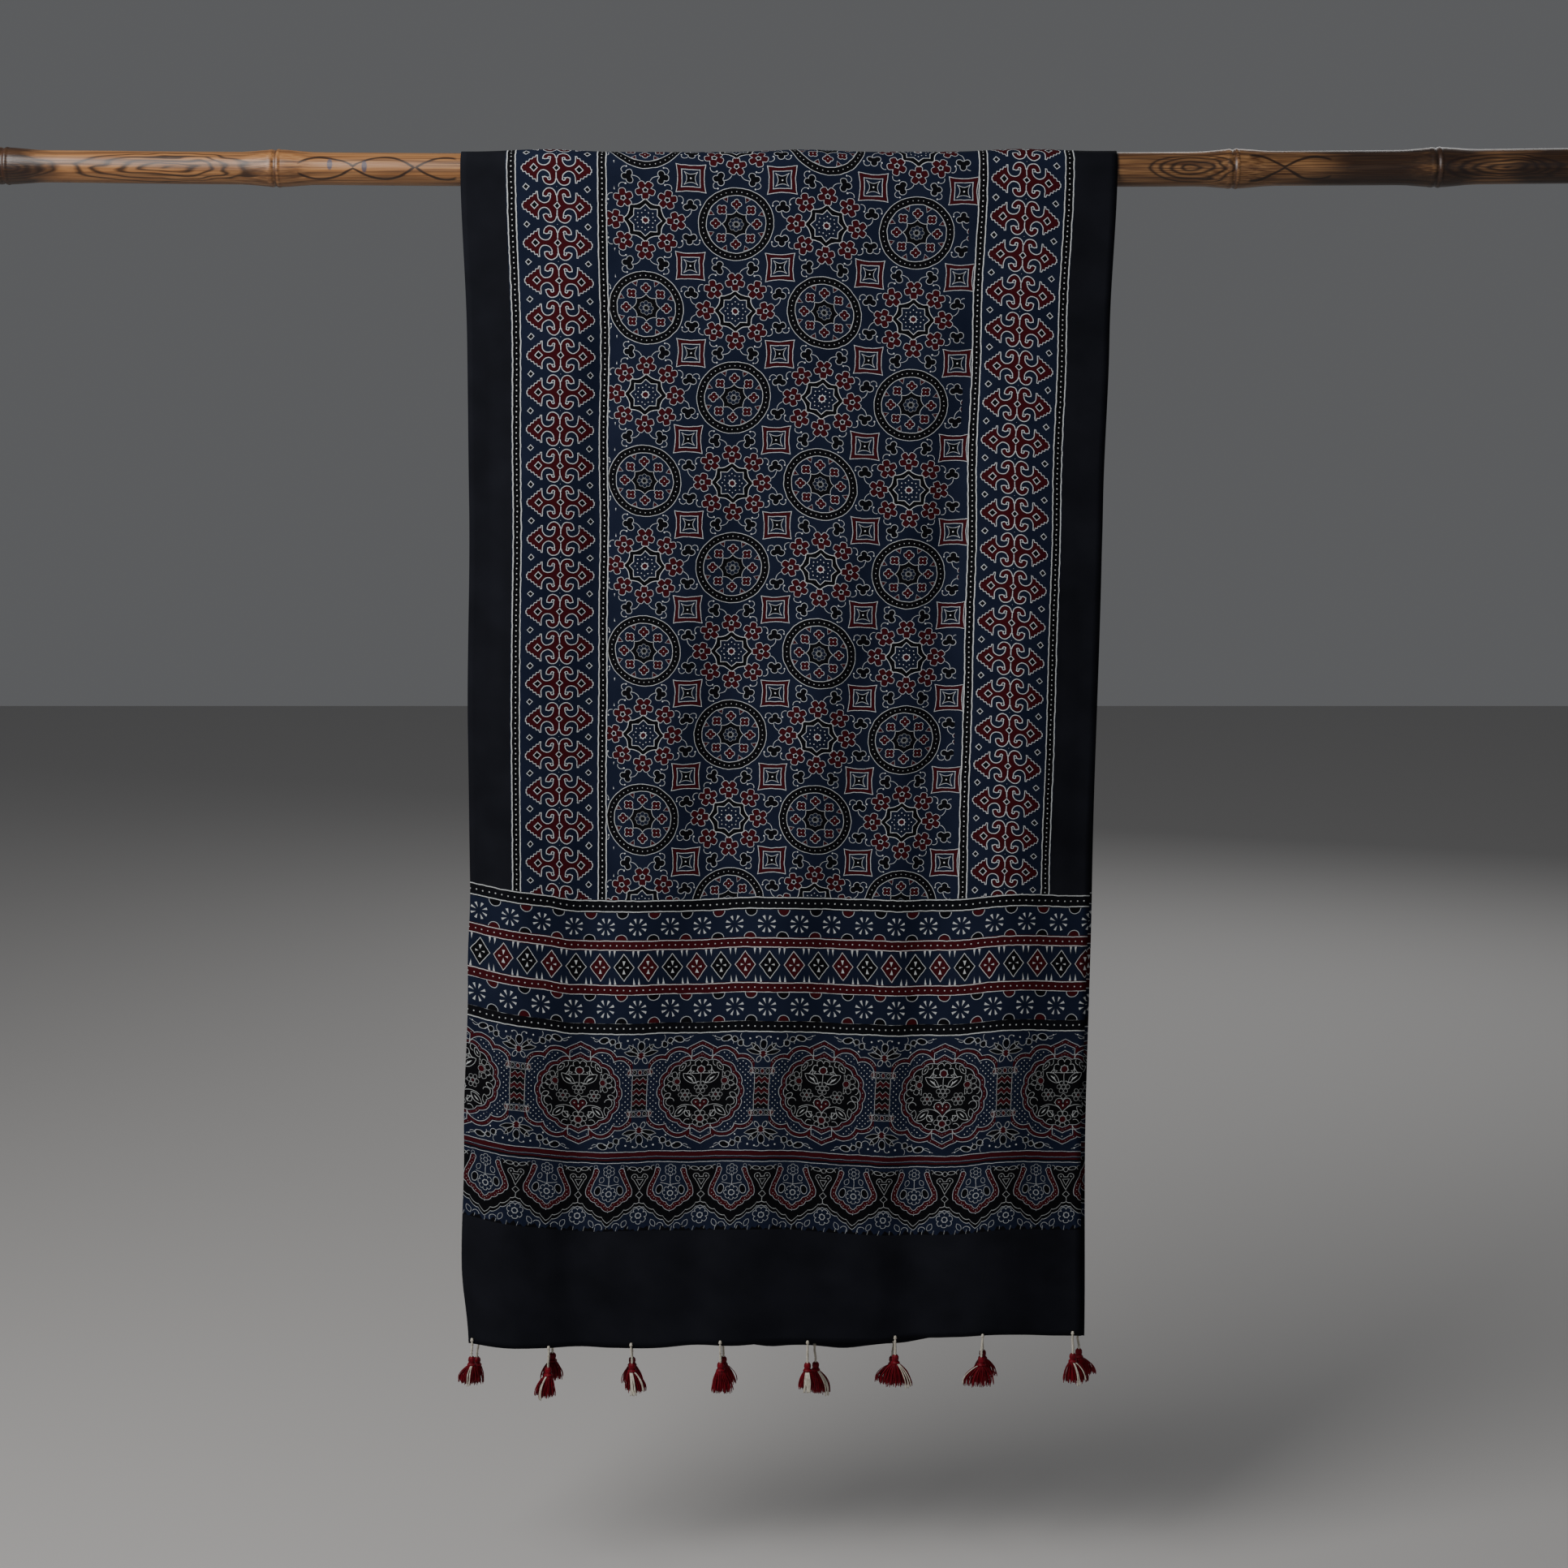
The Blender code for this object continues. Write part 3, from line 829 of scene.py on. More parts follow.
def medallion_filling(inks, x, y):
    """The flowers and leaves inside a medallion. y runs down and x is mirrored about the middle."""
    point = point_of(x, y)
    lotus = shifted(point, 0.0, -20.0)
    petal = most(petals(lotus, 7, 3.8, 8.8, 2.3, 90.0), lotus.y - 2.6)
    inks.red(length(lotus) - 2.6)
    inks.white(rim(petal, 1.0), line(length(lotus) - 3.1, 0.9), stroke(point, 0.0, -17.0, 0.0, -9.5, 1.0))
    inks.white(line(leaf(point, 10.0, -12.6, 7.2, 3.2, -36.0), 1.0))
    inks.white(leaf(point, 9.4, -12.2, 4.2, 0.9, -36.0))
    rings = least(cluster(point, 0.0, -4.6), cluster(point, 13.6, 2.4))
    inks.white(line(rings, 0.85))
    inks.red(distance(point, 13.6, 2.4) - 1.0)
    side = shifted(point, 21.0, -9.6)
    inks.red(length(side) - 2.4)
    half_bloom = most(petals(side, 8, 4.2, 8.2, 1.7, 22.0), -side.x - 1.6)
    inks.white(line(length(side) - 2.8, 0.9), rim(half_bloom, 0.9))
    inks.white(line(leaf(point, 16.6, -22.6, 4.4, 2.2, 52.0), 1.0))
    inks.white(leaf(point, 16.6, -22.6, 2.6, 0.6, 52.0), line(oval(point, 29.2, 3.2, 3.2, 2.0, 30.0), 0.95))
    inks.white(line(diamond(point, 0.0, 3.6, 2.8, 2.8), 0.9), stroke(point, 2.8, 3.4, 8.8, 2.6, 0.9))
    core = least(distance(point, 3.6, 8.8) - 3.6, most(beyond(point, 42.0, 11.6), 8.8 - y))
    inks.red(most(core + 1.1, -(core + 3.4)))
    inks.white(line(core, 1.0), line(core + 3.2, 0.9), distance(point, 0.0, 11.4) - 0.8)
    bloom = shifted(point, 0.0, 23.8)
    inks.red(length(bloom) - 2.6)
    inks.white(line(length(bloom) - 3.0, 0.9), rim(petals(bloom, 7, 3.9, 7.0, 1.7, 90.0), 0.9))
    inks.white(line(leaf(point, 17.4, 17.0, 6.6, 2.9, 42.0), 1.0), leaf(point, 17.4, 17.0, 4.0, 0.8, 42.0))
    inks.white(line(leaf(point, 25.6, 16.4, 4.6, 2.4, 75.0), 0.95))
    for x0, y0, radius, middle, half_turn, width in FILLING_CURLS:
        inks.white(arc(point, x0, y0, radius, middle, half_turn, width))


def column_ink(inks, x, y):
    """The upright columns between medallions, with zigzags and beaded ends. x is from a column's middle."""
    shaft = box(x, y + 0.4, 6.2, 15.2)
    row = abs(repeat(y + wave(x, 2.6) * 1.0, 9.4))
    inks.red(most(shaft, row - 1.9))
    inks.black(most(shaft, 2.1 - row))
    inks.white(most(shaft, line(row - 2.2, 0.95)), most(line(x - 6.6, 1.0), abs(y) - 16.0))
    high = abs(y) - 18.6
    bead = length(point_of(repeat(x, 4.7) * 1.2, high)) - 2.3
    ends = x - 11.6
    inks.red(most(bead, ends, abs(repeat(x, 9.4)) - 2.2))
    inks.black(most(bead, ends, 2.2 - abs(repeat(x, 9.4))))
    inks.white(most(line(bead + 0.3, 0.9), ends), most(line(abs(high) - 2.7, 0.85), ends))


def palmette_ink(inks, x, y):
    """The flower above and below each column. x is from its middle and y points away from the column."""
    point = point_of(x, y)
    inks.red(length(point) - 2.6)
    blades = least(leaf(point, 8.4, 1.8, 6.6, 2.0, 14.0), leaf(point, 6.6, 5.8, 5.8, 1.9, 40.0))
    drop = oval(point, 0.0, 8.4, 4.2, 2.9, 90.0)
    feet = oval(point, 3.6, -4.4, 3.0, 1.7, -60.0)
    inks.black(blades, drop + 0.6)
    inks.white(line(least(blades, drop, feet), 0.95), line(length(point) - 3.0, 0.9))
    inks.white(arc(point, 4.4, 12.8, 2.6, 150.0, 95.0, 1.0), distance(point, 6.2, 14.6) - 1.0)
    inks.white(arc(point, 11.5, 9.0, 4.2, 215.0, 60.0, 1.0))


def spray_ink(inks, x, y):
    """Vines in the corners outside the lobed outline, in one quarter."""
    point = point_of(x, y)
    round_buds = least(distance(point, 33.4, 43.0) - 2.2, distance(point, 28.4, 46.4) - 2.0)
    buds = least(round_buds, oval(point, 21.0, 47.4, 3.6, 2.2, 12.0))
    inks.black(buds)
    inks.white(rim(buds, 1.0), arc(point, 14.2, 49.2, 3.0, -80.0, 75.0, 1.0))
    inks.white(distance(point, 11.0, 49.6) - 0.9)
    inks.white(stroke(point, 16.4, 47.4, 8.4, 50.4, 0.9), arc(point, 24.6, 43.8, 2.6, 60.0, 100.0, 1.0))
    inks.white(arc(point, 39.2, 43.6, 3.8, -110.0, 90.0, 1.0), distance(point, 41.8, 47.0) - 1.1)
    inks.white(arc(point, 36.8, 49.0, 3.6, 200.0, 70.0, 0.95), distance(point, 30.6, 38.4) - 1.0)


def medallions_print(s, v):
    """The medallion border of the end panel."""
    inks = Inks()
    x = abs(repeat(s - MEDALLION_MIDDLE[0], MEDALLION_PITCH))
    down = v - MEDALLION_MIDDLE[1]
    y = abs(down)
    outer = ogee_edge(x, y)
    inner = medallion_edge(x, y)
    inks.red(most(line(outer + 2.4, 2.3), x - 47.0))
    inks.white(most(line(abs(outer + 2.4) - 1.95, 1.05), x - 47.4))
    open_ground = most(outer + 5.4, 1.4 - inner, x - 46.6)
    inks.white(most(dotted(x, y, 4.9, 0.78), open_ground))
    red_lines = least(line(outer + 2.4, 1.2), line(inner + 2.8, 1.2))
    inks.white(most(dotted(x + 1.0, y + 1.4, 3.7, 0.6), red_lines))
    inks.red(line(inner + 2.8, 2.5))
    inks.white(line(abs(inner + 2.8) - 2.2, 1.05))
    inks.black(inner + 5.2)
    from_column = abs(x - 0.5 * MEDALLION_PITCH)
    column_ink(inks, from_column, down)
    palmette_ink(inks, from_column, y - 33.6)
    spray_ink(inks, x, y)
    inside = Inks()
    medallion_filling(inside, x, down)
    inner_red = most(inside.edges["red"], inner + 5.6)
    inks.edges["black"] = most(inks.edges["black"], -inner_red)
    inks.red(inner_red)
    inks.white(most(inside.edges["white"], inner + 5.6))
    return inks


def stripes_print(s, v):
    """White, red, white, dark red and white stripes."""
    inks = Inks()
    y = v - STRIPES_MIDDLE
    inks.red(line(y + 2.4, 3.6), line(y - 2.3, 2.4))
    inks.black(line(y - 3.0, 1.2))
    inks.white(line(abs(y) - 5.0, 1.1), line(y, 0.8))
    return inks


def arch_ink(inks, x, y, heart_x):
    """The red arches with white dots, and the black ground and white zigzag below them."""
    point = point_of(x, y)
    widen = maths("MULTIPLY_ADD", y, 1.0 / 22.0, -5.0 / 22.0, clamp=True)
    side = x - 14.0 - widen * widen * (3.0 - widen * 2.0) * 7.0
    scallop = wave(beyond(point, 141.0, 0.0) - 2.0, 3.6)
    floor = beyond(point, 54.0, 37.0) + scallop * scallop * 0.085
    arch = maths("SMOOTH_MAX", side, floor, 5.0)
    tips = distance(point, 11.2, 6.6) - 2.8
    outline = least(most(line(arch + 2.7, 5.4), 6.8 - y), tips)
    zig_scallop = wave(x - 1.0, 4.4)
    zigzag = (y - 35.6 - heart_x * 0.68) * 0.83 + zig_scallop * zig_scallop * 0.08
    inks.black(most(-arch, zigzag - 2.6, 3.2 - y))
    inks.red(outline + 0.9)
    inks.edges["black"] = most(inks.edges["black"], -outline)
    inks.white(line(outline + 0.45, 1.0), most(dotted(x, y, 3.5, 0.6), outline + 1.6))
    inks.white(line(zigzag, 1.0), line(zigzag - 2.9, 1.0))


def heart_ink(inks, heart, y):
    """The nested hearts between two arches, with beads above them and a diamond below."""
    wedge = most(heart.x * 0.873 + (y - 25.3) * 0.491, 12.4 - y)
    hearts = least(wedge, distance(heart, 4.4, 12.4) - 3.0)
    inks.red(hearts + 4.9)
    inks.edges["black"] = most(inks.edges["black"], -(hearts + 4.9))
    inks.white(line(hearts + 0.4, 0.95), line(hearts + 2.5, 0.9), line(hearts + 4.6, 0.8))
    beads = least(oval(heart, 5.8, 5.0, 3.4, 1.6, -10.0), distance(heart, 0.0, 6.0) - 2.0)
    inks.red(beads + 0.6)
    inks.white(line(beads, 0.9), line(diamond(heart, 0.0, 28.9, 3.1, 3.1), 0.95))
    inks.white(most(heart.x - 0.5, 31.8 - y, y - 36.0))


def arch_flowers_ink(inks, point, heart):
    """The flowers and leaves inside the arches and under the zigzag."""
    bloom = shifted(heart, 0.0, 48.0)
    inks.white(rim(petals(bloom, 7, 2.9, 6.8, 1.8, 90.0), 1.0), line(length(bloom) - 2.1, 0.9))
    inks.white(line(leaf(heart, 12.8, 55.0, 3.6, 2.0, 60.0), 0.95))
    inks.white(arc(heart, 19.4, 58.0, 3.2, -60.0, 100.0, 1.0))
    star = shifted(point, 0.0, 27.6)
    inks.white(rim(petals(star, 8, 2.9, 6.2, 1.4, 90.0), 0.95), line(length(star) - 2.1, 0.9))
    black_leaf = oval(point, 9.8, 24.4, 3.4, 2.3, 76.0)
    inks.black(black_leaf)
    inks.white(rim(black_leaf, 0.95), stroke(point, 0.0, 10.6, 0.0, 21.0, 1.0))
    inks.white(stroke(point, 0.0, 20.0, 8.6, 18.6, 0.95), line(leaf(point, 6.4, 14.4, 2.8, 1.9, 65.0), 0.9))
    inks.white(rim(petals(shifted(point, 0.0, 6.8), 6, 2.2, 4.6, 1.4, 90.0), 0.9))
    inks.white(line(distance(heart, 15.4, 3.0) - 1.5, 0.8), arc(heart, 12.0, 4.4, 2.0, 200.0, 90.0, 0.9))


def arches_print(s, v):
    """The horseshoe arches above the plain end of the cloth, and the ragged edge that they end in."""
    inks = Inks()
    x = abs(repeat(s - ARCH_MIDDLE, ARCH_PITCH))
    y = v - ROW_LINES[-2]
    heart_x = 0.5 * ARCH_PITCH - x
    heart = point_of(heart_x, y)
    arch_ink(inks, x, y, heart_x)
    heart_ink(inks, heart, y)
    arch_flowers_ink(inks, point_of(x, y), heart)
    ragged = y - 59.4 + wave(s, 3.1) * 0.9 - wave(s + 4.0, 8.3) * 0.45
    inks.edges["white"] = most(inks.edges["white"], ragged)
    inks.white(most(line(repeat(s + v * 0.2, 9.7), 0.9), 57.4 - y, ragged - 2.2))
    inks.black(-ragged)
    return inks


PRINTS = {
    "field": field_print,
    "border": border_print,
    "strip": strip_print,
    "black_dots": black_dots_print,
    "red_dots": red_dots_print,
    "pinwheels": pinwheel_print,
    "diamonds": diamonds_print,
    "medallions": medallions_print,
    "stripes": stripes_print,
    "arches": arches_print,
}


def mixed(tree, share, first, second):
    """A colour between two others. Each may be a colour or a socket."""
    node = tree.nodes.new("ShaderNodeMix")
    node.data_type = "RGBA"
    node.clamp_factor = True
    feed(node, 0, share)
    for place, colour in ((6, first), (7, second)):
        if isinstance(colour, tuple):
            node.inputs[place].default_value = colour
        else:
            tree.links.new(colour, node.inputs[place])
    return node.outputs[2]


def noise(tree, vector, scale, detail):
    """Soft noise from 0 to 1."""
    node = tree.nodes.new("ShaderNodeTexNoise")
    node.inputs["Scale"].default_value = scale
    node.inputs["Detail"].default_value = detail
    tree.links.new(vector, node.inputs["Vector"])
    return Num(tree, node.outputs["Fac"])


def scaled(tree, socket, factor):
    node = tree.nodes.new("ShaderNodeVectorMath")
    node.operation = "SCALE"
    tree.links.new(socket, node.inputs[0])
    node.inputs["Scale"].default_value = factor
    return node.outputs[0]


def add_bump(tree, shader, height, strength, reach):
    """Fine relief in the shading, at most reach metres high."""
    bump = tree.nodes.new("ShaderNodeBump")
    bump.inputs["Strength"].default_value = strength
    bump.inputs["Distance"].default_value = reach
    tree.links.new(height.socket, bump.inputs["Height"])
    tree.links.new(bump.outputs[0], shader.inputs["Normal"])


def wandering(tree, flat):
    """The place on the print, moved a little to and fro as the hand-cut blocks are."""
    node = tree.nodes.new("ShaderNodeTexNoise")
    node.inputs["Scale"].default_value = 0.13
    node.inputs["Detail"].default_value = 1.0
    tree.links.new(flat, node.inputs["Vector"])
    drift = Point(tree, node.outputs["Color"])
    moved = vector_maths("MULTIPLY_ADD", drift, (WANDER, WANDER), Point(tree, flat))
    return shifted(Point(tree, moved.outputs[0]), 0.5 * WANDER, 0.5 * WANDER)


def cloth_material(zone):
    """Matt woven cotton with one zone of the block print."""
    material, tree, shader = new_material(f"cloth_{zone}")
    chart = tree.nodes.new("ShaderNodeUVMap")
    chart.uv_map = "Print"
    flat = scaled(tree, chart.outputs[0], 1000.0)
    place = wandering(tree, flat)
    patch = noise(tree, flat, 0.022, 2.0)
    ground = GROUNDS.get(zone, (INK_BLUE, FADED_BLUE))
    colour = mixed(tree, patch * 1.6 - 0.3, *ground)
    # The end panel takes the darker white, which is partly painted shade.
    white = SHADED_PANEL_WHITE if zone in ROW_ZONES else INK_WHITE
    if zone in PRINTS:
        speckle = noise(tree, flat, 1.1, 1.0)
        inks = PRINTS[zone](place.x, place.y)
        for name, tint in (("red", INK_RED), ("black", INK_BLACK), ("white", white)):
            if inks.edges[name]:
                level = WHITE_LEVEL if name == "white" else INK_LEVEL
                share = maths("MULTIPLY_ADD", inks.edges[name], -1.0 / INK_BLUR, level, clamp=True)
                if name == "white":
                    share = share * maths("MULTIPLY_ADD", speckle, 1.7, 0.1, clamp=True)
                colour = mixed(tree, share, colour, tint)
    tree.links.new(colour, shader.inputs["Base Color"])
    weave = noise(tree, flat, 1.6, 2.0)
    add_bump(tree, shader, weave, 0.25, 0.0003)
    shader.inputs["Roughness"].default_value = 0.88
    shader.inputs["Specular IOR Level"].default_value = 0.10
    return material


def clamp(value):
    return min(max(value, 0.0), 1.0)


def fade(low, high, value):
    """Rises smoothly from 0 at low to 1 at high."""
    share = clamp((value - low) / (high - low))
    return share * share * (3.0 - 2.0 * share)


def hump(distance_off, half_width):
    """1 at the middle, easing to 0 at half_width."""
    if abs(distance_off) >= half_width:
        return 0.0
    return math.cos(0.5 * math.pi * distance_off / half_width) ** 2


def between(table, key, column):
    """Eases from row to row of a table."""
    for before, after in zip(table, table[1:]):
        if key <= after[0]:
            share = fade(before[0], after[0], key)
            return before[column] + share * (after[column] - before[column])
    return table[-1][column]


def rod_radius(x, swell_half_width):
    """The rod's radius, with a swelling at each joint."""
    share = x / ROD_LENGTH + 0.5
    plain = ROD_RADIUS_LEFT + share * (ROD_RADIUS_RIGHT - ROD_RADIUS_LEFT)
    return plain + JOINT_SWELL * max(hump(x - place, swell_half_width) for place in JOINT_PLACES)


def rod_height(x):
    """The rod bows down a little in the middle."""
    return ROD_END_RISE * (2.0 * x / ROD_LENGTH) ** 2


def folds_at(folds, across, drop):
    """How far the folds stand out at a place on one drop."""
    return sum(
        out * hump(across - place - lean * drop, half_width) * fade(start, full, drop)
        for place, half_width, out, lean, start, full in folds
    )


def cloth_point(across, along, out=0.0):
    """A point of the sheet's middle, or out from it, at a place on the flat cloth."""
    wrap_radius = rod_radius(across, CLOTH_SWELL_HALF_WIDTH) + ROD_GAP + 0.5 * SOLID_THICKNESS
    quarter = 0.5 * math.pi * wrap_radius
    side = -1.0 if along < 0.0 else 1.0
    if abs(along) <= quarter:
        turn = abs(along) / wrap_radius
        reach = wrap_radius + out
        return Vector((across, side * reach * math.sin(turn), rod_height(across) + reach * math.cos(turn)))
    drop = abs(along) - quarter
    edges, hem, folds, mean = (
        (FRONT_EDGES, FRONT_HEM, FRONT_FOLDS, FRONT_DROP)
        if side < 0.0
        else (BACK_EDGES, BACK_HEM, BACK_FOLDS, BACK_DROP)
    )
    share = across / CLOTH_WIDTH + 0.5
    left = between(edges, drop, 1)
    right = between(edges, drop, 2)
    lower = between(hem, across, 1) * drop / mean
    stand = folds_at(folds, across, drop)
    return Vector(
        (
            left + share * (right - left),
            side * (wrap_radius + stand + out),
            rod_height(across) * (1.0 - fade(0.0, 0.2, drop)) - drop - lower,
        )
    )


def spaced(lines, step):
    """Places from the first line to the last, with one on each line."""
    places = [lines[0]]
    for low, high in zip(lines, lines[1:]):
        parts = max(1, math.ceil((high - low) / step - 1e-6))
        places += [low + (high - low) * number / parts for number in range(1, parts + 1)]
    return places


def crease(s, v):
    """How far the fine creases move the front drop outwards, in millimetres."""
    total = 0.0
    for s0, v0, s1, v1, half_width, out in CREASES:
        way = Vector((s1 - s0, v1 - v0))
        share = clamp(((s - s0) * way.x + (v - v0) * way.y) / way.length_squared)
        off = math.hypot(s - s0 - share * way.x, v - v0 - share * way.y)
        total += out * hump(off, half_width) * math.sin(math.pi * (0.06 + 0.88 * share))
    return total


def printed_lower(s, v):
    """How much lower the print lies than level at a place on the front drop, in millimetres."""
    tilt = (11.5 - 4.5 * clamp(v / 550.0)) * (s - 155.0) / 225.0
    level, climb, fall = (between(BAND_HANGS, v, column) for column in (1, 2, 3))
    left = climb * clamp(1.0 - s / BAND_CLIMB_WIDTH)
    right = fall * clamp((s - BAND_FALL_START) / BAND_FALL_WIDTH)
    sags = sum(depth * hump(s - place, half_width) for place, half_width, depth in BAND_SAGS)
    band = level - left + right + sags
    into = fade(540.0, ROW_LINES[0], v)
    return (tilt * (1.0 - into) + band * into) * (1.0 - fade(ROW_LINES[-1], 1000.0 * FRONT_DROP, v))


def printed_aside(s, v):
    """How far the upright lines wander sideways, in millimetres."""
    free = math.sin(math.pi * s / (1000.0 * CLOTH_WIDTH))
    quick = 0.9 * math.sin(v / 61.0 + s * 0.004) + 0.6 * math.sin(v / 23.0 + 1.3)
    return free * (quick - 1.2 * math.sin(v / 210.0))


def sheet_rows():
    """Rows along the cloth, front hem first: the print's v, its zone below, and the side it is on."""
    lines = (0.0,) + ROW_LINES
    front = spaced(lines + (FRONT_DROP * 1000.0,), GRID_STEP)
    turn = [-TOP_TURN + TURN_STEP * number for number in range(int(TOP_TURN / TURN_STEP))]
    front_rows = [(v, "front") for v in reversed(turn + front)]
    back_turn = [TURN_STEP * number - TOP_TURN for number in range(1, int(TOP_TURN / TURN_STEP))]
    back = spaced((-BACK_SHIFT,) + lines[1:] + (BACK_DROP * 1000.0 - BACK_SHIFT,), GRID_STEP)
    return front_rows + [(v - BACK_SHIFT, "back") for v in back_turn] + [(v, "back") for v in back]


def row_zone(v):
    """Which band of the end panel a place lies in, or none in the field."""
    for number, edge in enumerate(ROW_LINES):
        if v < edge:
            return ROW_ZONES[number]
    return ROW_ZONES[-1]


def sheet_place(s, v, side):
    """Where a place of the print lies on the flat cloth: across and along, in metres."""
    if side == "front":
        moved = printed_lower(s, v)
        return (s + printed_aside(s, v)) / 1000.0 - 0.5 * CLOTH_WIDTH, -(v + TOP_TURN + moved) / 1000.0
    past = v + BACK_SHIFT + TOP_TURN
    moved = printed_lower(s, -TOP_TURN) * (1.0 - fade(0.0, 500.0, past))
    return (s + printed_aside(s, -past - TOP_TURN)) / 1000.0 - 0.5 * CLOTH_WIDTH, (past - moved) / 1000.0


def sheet_points(columns, rows):
    """The points of the outer side, then those of the inner side."""
    points = []
    for out in (0.5 * SHEET_THICKNESS, -0.5 * SHEET_THICKNESS):
        for v, side in rows:
            for s in columns:
                across, along = sheet_place(s, v, side)
                extra = 0.001 * crease(s, v) if side == "front" else 0.0
                points.append(cloth_point(across, along, out + extra))
    return points


def build_cloth():
    """The printed sheet, with an outer and an inner side."""
    columns = spaced(COLUMN_LINES, GRID_STEP)
    rows = sheet_rows()
    wide = len(columns)
    points = sheet_points(columns, rows)
    zones = sorted(set(COLUMN_ZONES) | set(ROW_ZONES[1:]))
    faces = []
    charts = []
    bakes = []
    slots = []
    count = len(rows) * wide
    flat_v = [v if side == "front" else -v - 2.0 * TOP_TURN - BACK_SHIFT for v, side in rows]
    for row in range(len(rows) - 1):
        v_low, side = rows[row + 1] if rows[row][1] == "front" else rows[row]
        back = rows[row + 1][1] == "back"
        middle_v = 0.5 * (rows[row][0] + rows[row + 1][0]) if rows[row][1] == rows[row + 1][1] else 0.0
        zone_here = row_zone(middle_v)
        for column in range(wide - 1):
            middle_s = 0.5 * (columns[column] + columns[column + 1])
            zone = zone_here or COLUMN_ZONES[sum(middle_s > edge for edge in COLUMN_LINES[1:-1])]
            corners = ((row, column), (row, column + 1), (row + 1, column + 1), (row + 1, column))
            chart = []
            bake = []
            for r, c in corners:
                v = flat_v[r] if not zone_here else rows[r][0]
                chart.append((columns[c] / 1000.0, v / 1000.0))
                bake.append(bake_place(columns[c], flat_v[r], back))
            numbers = [r * wide + c for r, c in corners]
            faces.append(numbers)
            charts.append(chart)
            bakes.append(bake)
            slots.append(zones.index(zone))
            faces.append([count + number for number in reversed(numbers)])
            charts.append(list(reversed(chart)))
            bakes.append([inner_bake_place(columns[c], flat_v[r]) for r, c in reversed(corners)])
            slots.append(zones.index(zone))
    add_hems(faces, charts, bakes, slots, len(rows), wide, columns, flat_v, zones)
    mesh = bpy.data.meshes.new("printed_cloth")
    mesh.from_pydata(points, [], faces)
    fill_chart(mesh, "Print", charts)
    fill_chart(mesh, "OFBake", bakes)
    mesh.polygons.foreach_set("material_index", slots)
    mesh.shade_smooth()
    for zone in zones:
        mesh.materials.append(cloth_material(zone))
    return add(mesh, "stole")


def add_hems(faces, charts, bakes, slots, tall, wide, columns, flat_v, zones):
    """Closes the sheet along its four edges."""
    count = tall * wide
    loop = [(0, c) for c in range(wide)] + [(r, wide - 1) for r in range(1, tall)]
    loop += [(tall - 1, c) for c in range(wide - 2, -1, -1)] + [(r, 0) for r in range(tall - 2, -1, -1)]
    for first, second in zip(loop, loop[1:]):
        a = first[0] * wide + first[1]
        b = second[0] * wide + second[1]
        faces.append([b, a, count + a, count + b])
        places = [(columns[c] / 1000.0, flat_v[r] / 1000.0) for r, c in (second, first, first, second)]
        charts.append(places)
        bakes.append([inner_bake_place(columns[c], flat_v[r]) for r, c in (second, first, first, second)])
        slots.append(zones.index("margin"))


def bake_place(s, v, back):
    """Where the outer side goes on the baked map: the front drop on the left, the back drop beside it."""
    if back:
        return 0.495 + s / BAKE_WIDTH, 0.93 * clamp((-v - TOP_TURN) / BAKE_LENGTH)
    return 0.003 + s / BAKE_WIDTH, 0.93 * clamp((v + TOP_TURN) / BAKE_LENGTH)


def inner_bake_place(s, v):
    """Where the inner side goes on the baked map: a strip along its top."""
    return 0.01 + 0.98 * clamp((v + 1090.0) / 2120.0), 0.94 + 0.055 * s / 550.0


def fill_chart(mesh, name, charts):
    layer = mesh.uv_layers.new(name=name)
    layer.data.foreach_set("uv", [number for chart in charts for place in chart for number in place])


def add(mesh, name):
    piece = bpy.data.objects.new(name, mesh)
    bpy.context.scene.collection.objects.link(piece)
    return piece


def set_camera():
    lens = bpy.data.cameras.new("camera")
    lens.angle = math.radians(CAMERA_ANGLE)
    lens.clip_end = 100.0
    camera = bpy.data.objects.new("camera", lens)
    camera.location = CAMERA_PLACE
    camera.rotation_euler = (math.radians(90.0 - CAMERA_TILT), 0.0, 0.0)
    bpy.context.scene.collection.objects.link(camera)
    bpy.context.scene.camera = camera


def add_light(name, place, target, size, power, tint):
    lamp = bpy.data.lights.new(name, "AREA")
    lamp.size = size
    lamp.energy = power
    lamp.color = tint
    light = bpy.data.objects.new(name, lamp)
    light.location = place
    light.rotation_euler = (Vector(target) - Vector(place)).to_track_quat("-Z", "Y").to_euler()
    bpy.context.scene.collection.objects.link(light)


def set_studio():
    """A plain pale floor and soft light from the upper left."""
    half = FLOOR_HALF_WIDTH
    mesh = bpy.data.meshes.new("floor")
    corners = [(-half, -half, 0), (half, -half, 0), (half, half, 0), (-half, half, 0)]
    mesh.from_pydata(corners, [], [(0, 1, 2, 3)])
    floor = add(mesh, "floor")
    floor.location.z = FLOOR_HEIGHT
    material, tree, shader = new_material("floor")
    shader.inputs["Base Color"].default_value = FLOOR_COLOUR
    shader.inputs["Roughness"].default_value = 0.9
    mesh.materials.append(material)
    for light in LIGHTS:
        add_light(*light)
    world = bpy.data.worlds.new("studio")
    bpy.context.scene.world = world
    world.use_nodes = True
    world.node_tree.nodes["Background"].inputs["Color"].default_value = SKY_COLOUR
    world.node_tree.nodes["Background"].inputs["Strength"].default_value = SKY_STRENGTH


def new_material(name):
    """A material with its node tree and its surface shader."""
    material = bpy.data.materials.new(name)
    material.use_nodes = True
    return material, material.node_tree, material.node_tree.nodes["Principled BSDF"]


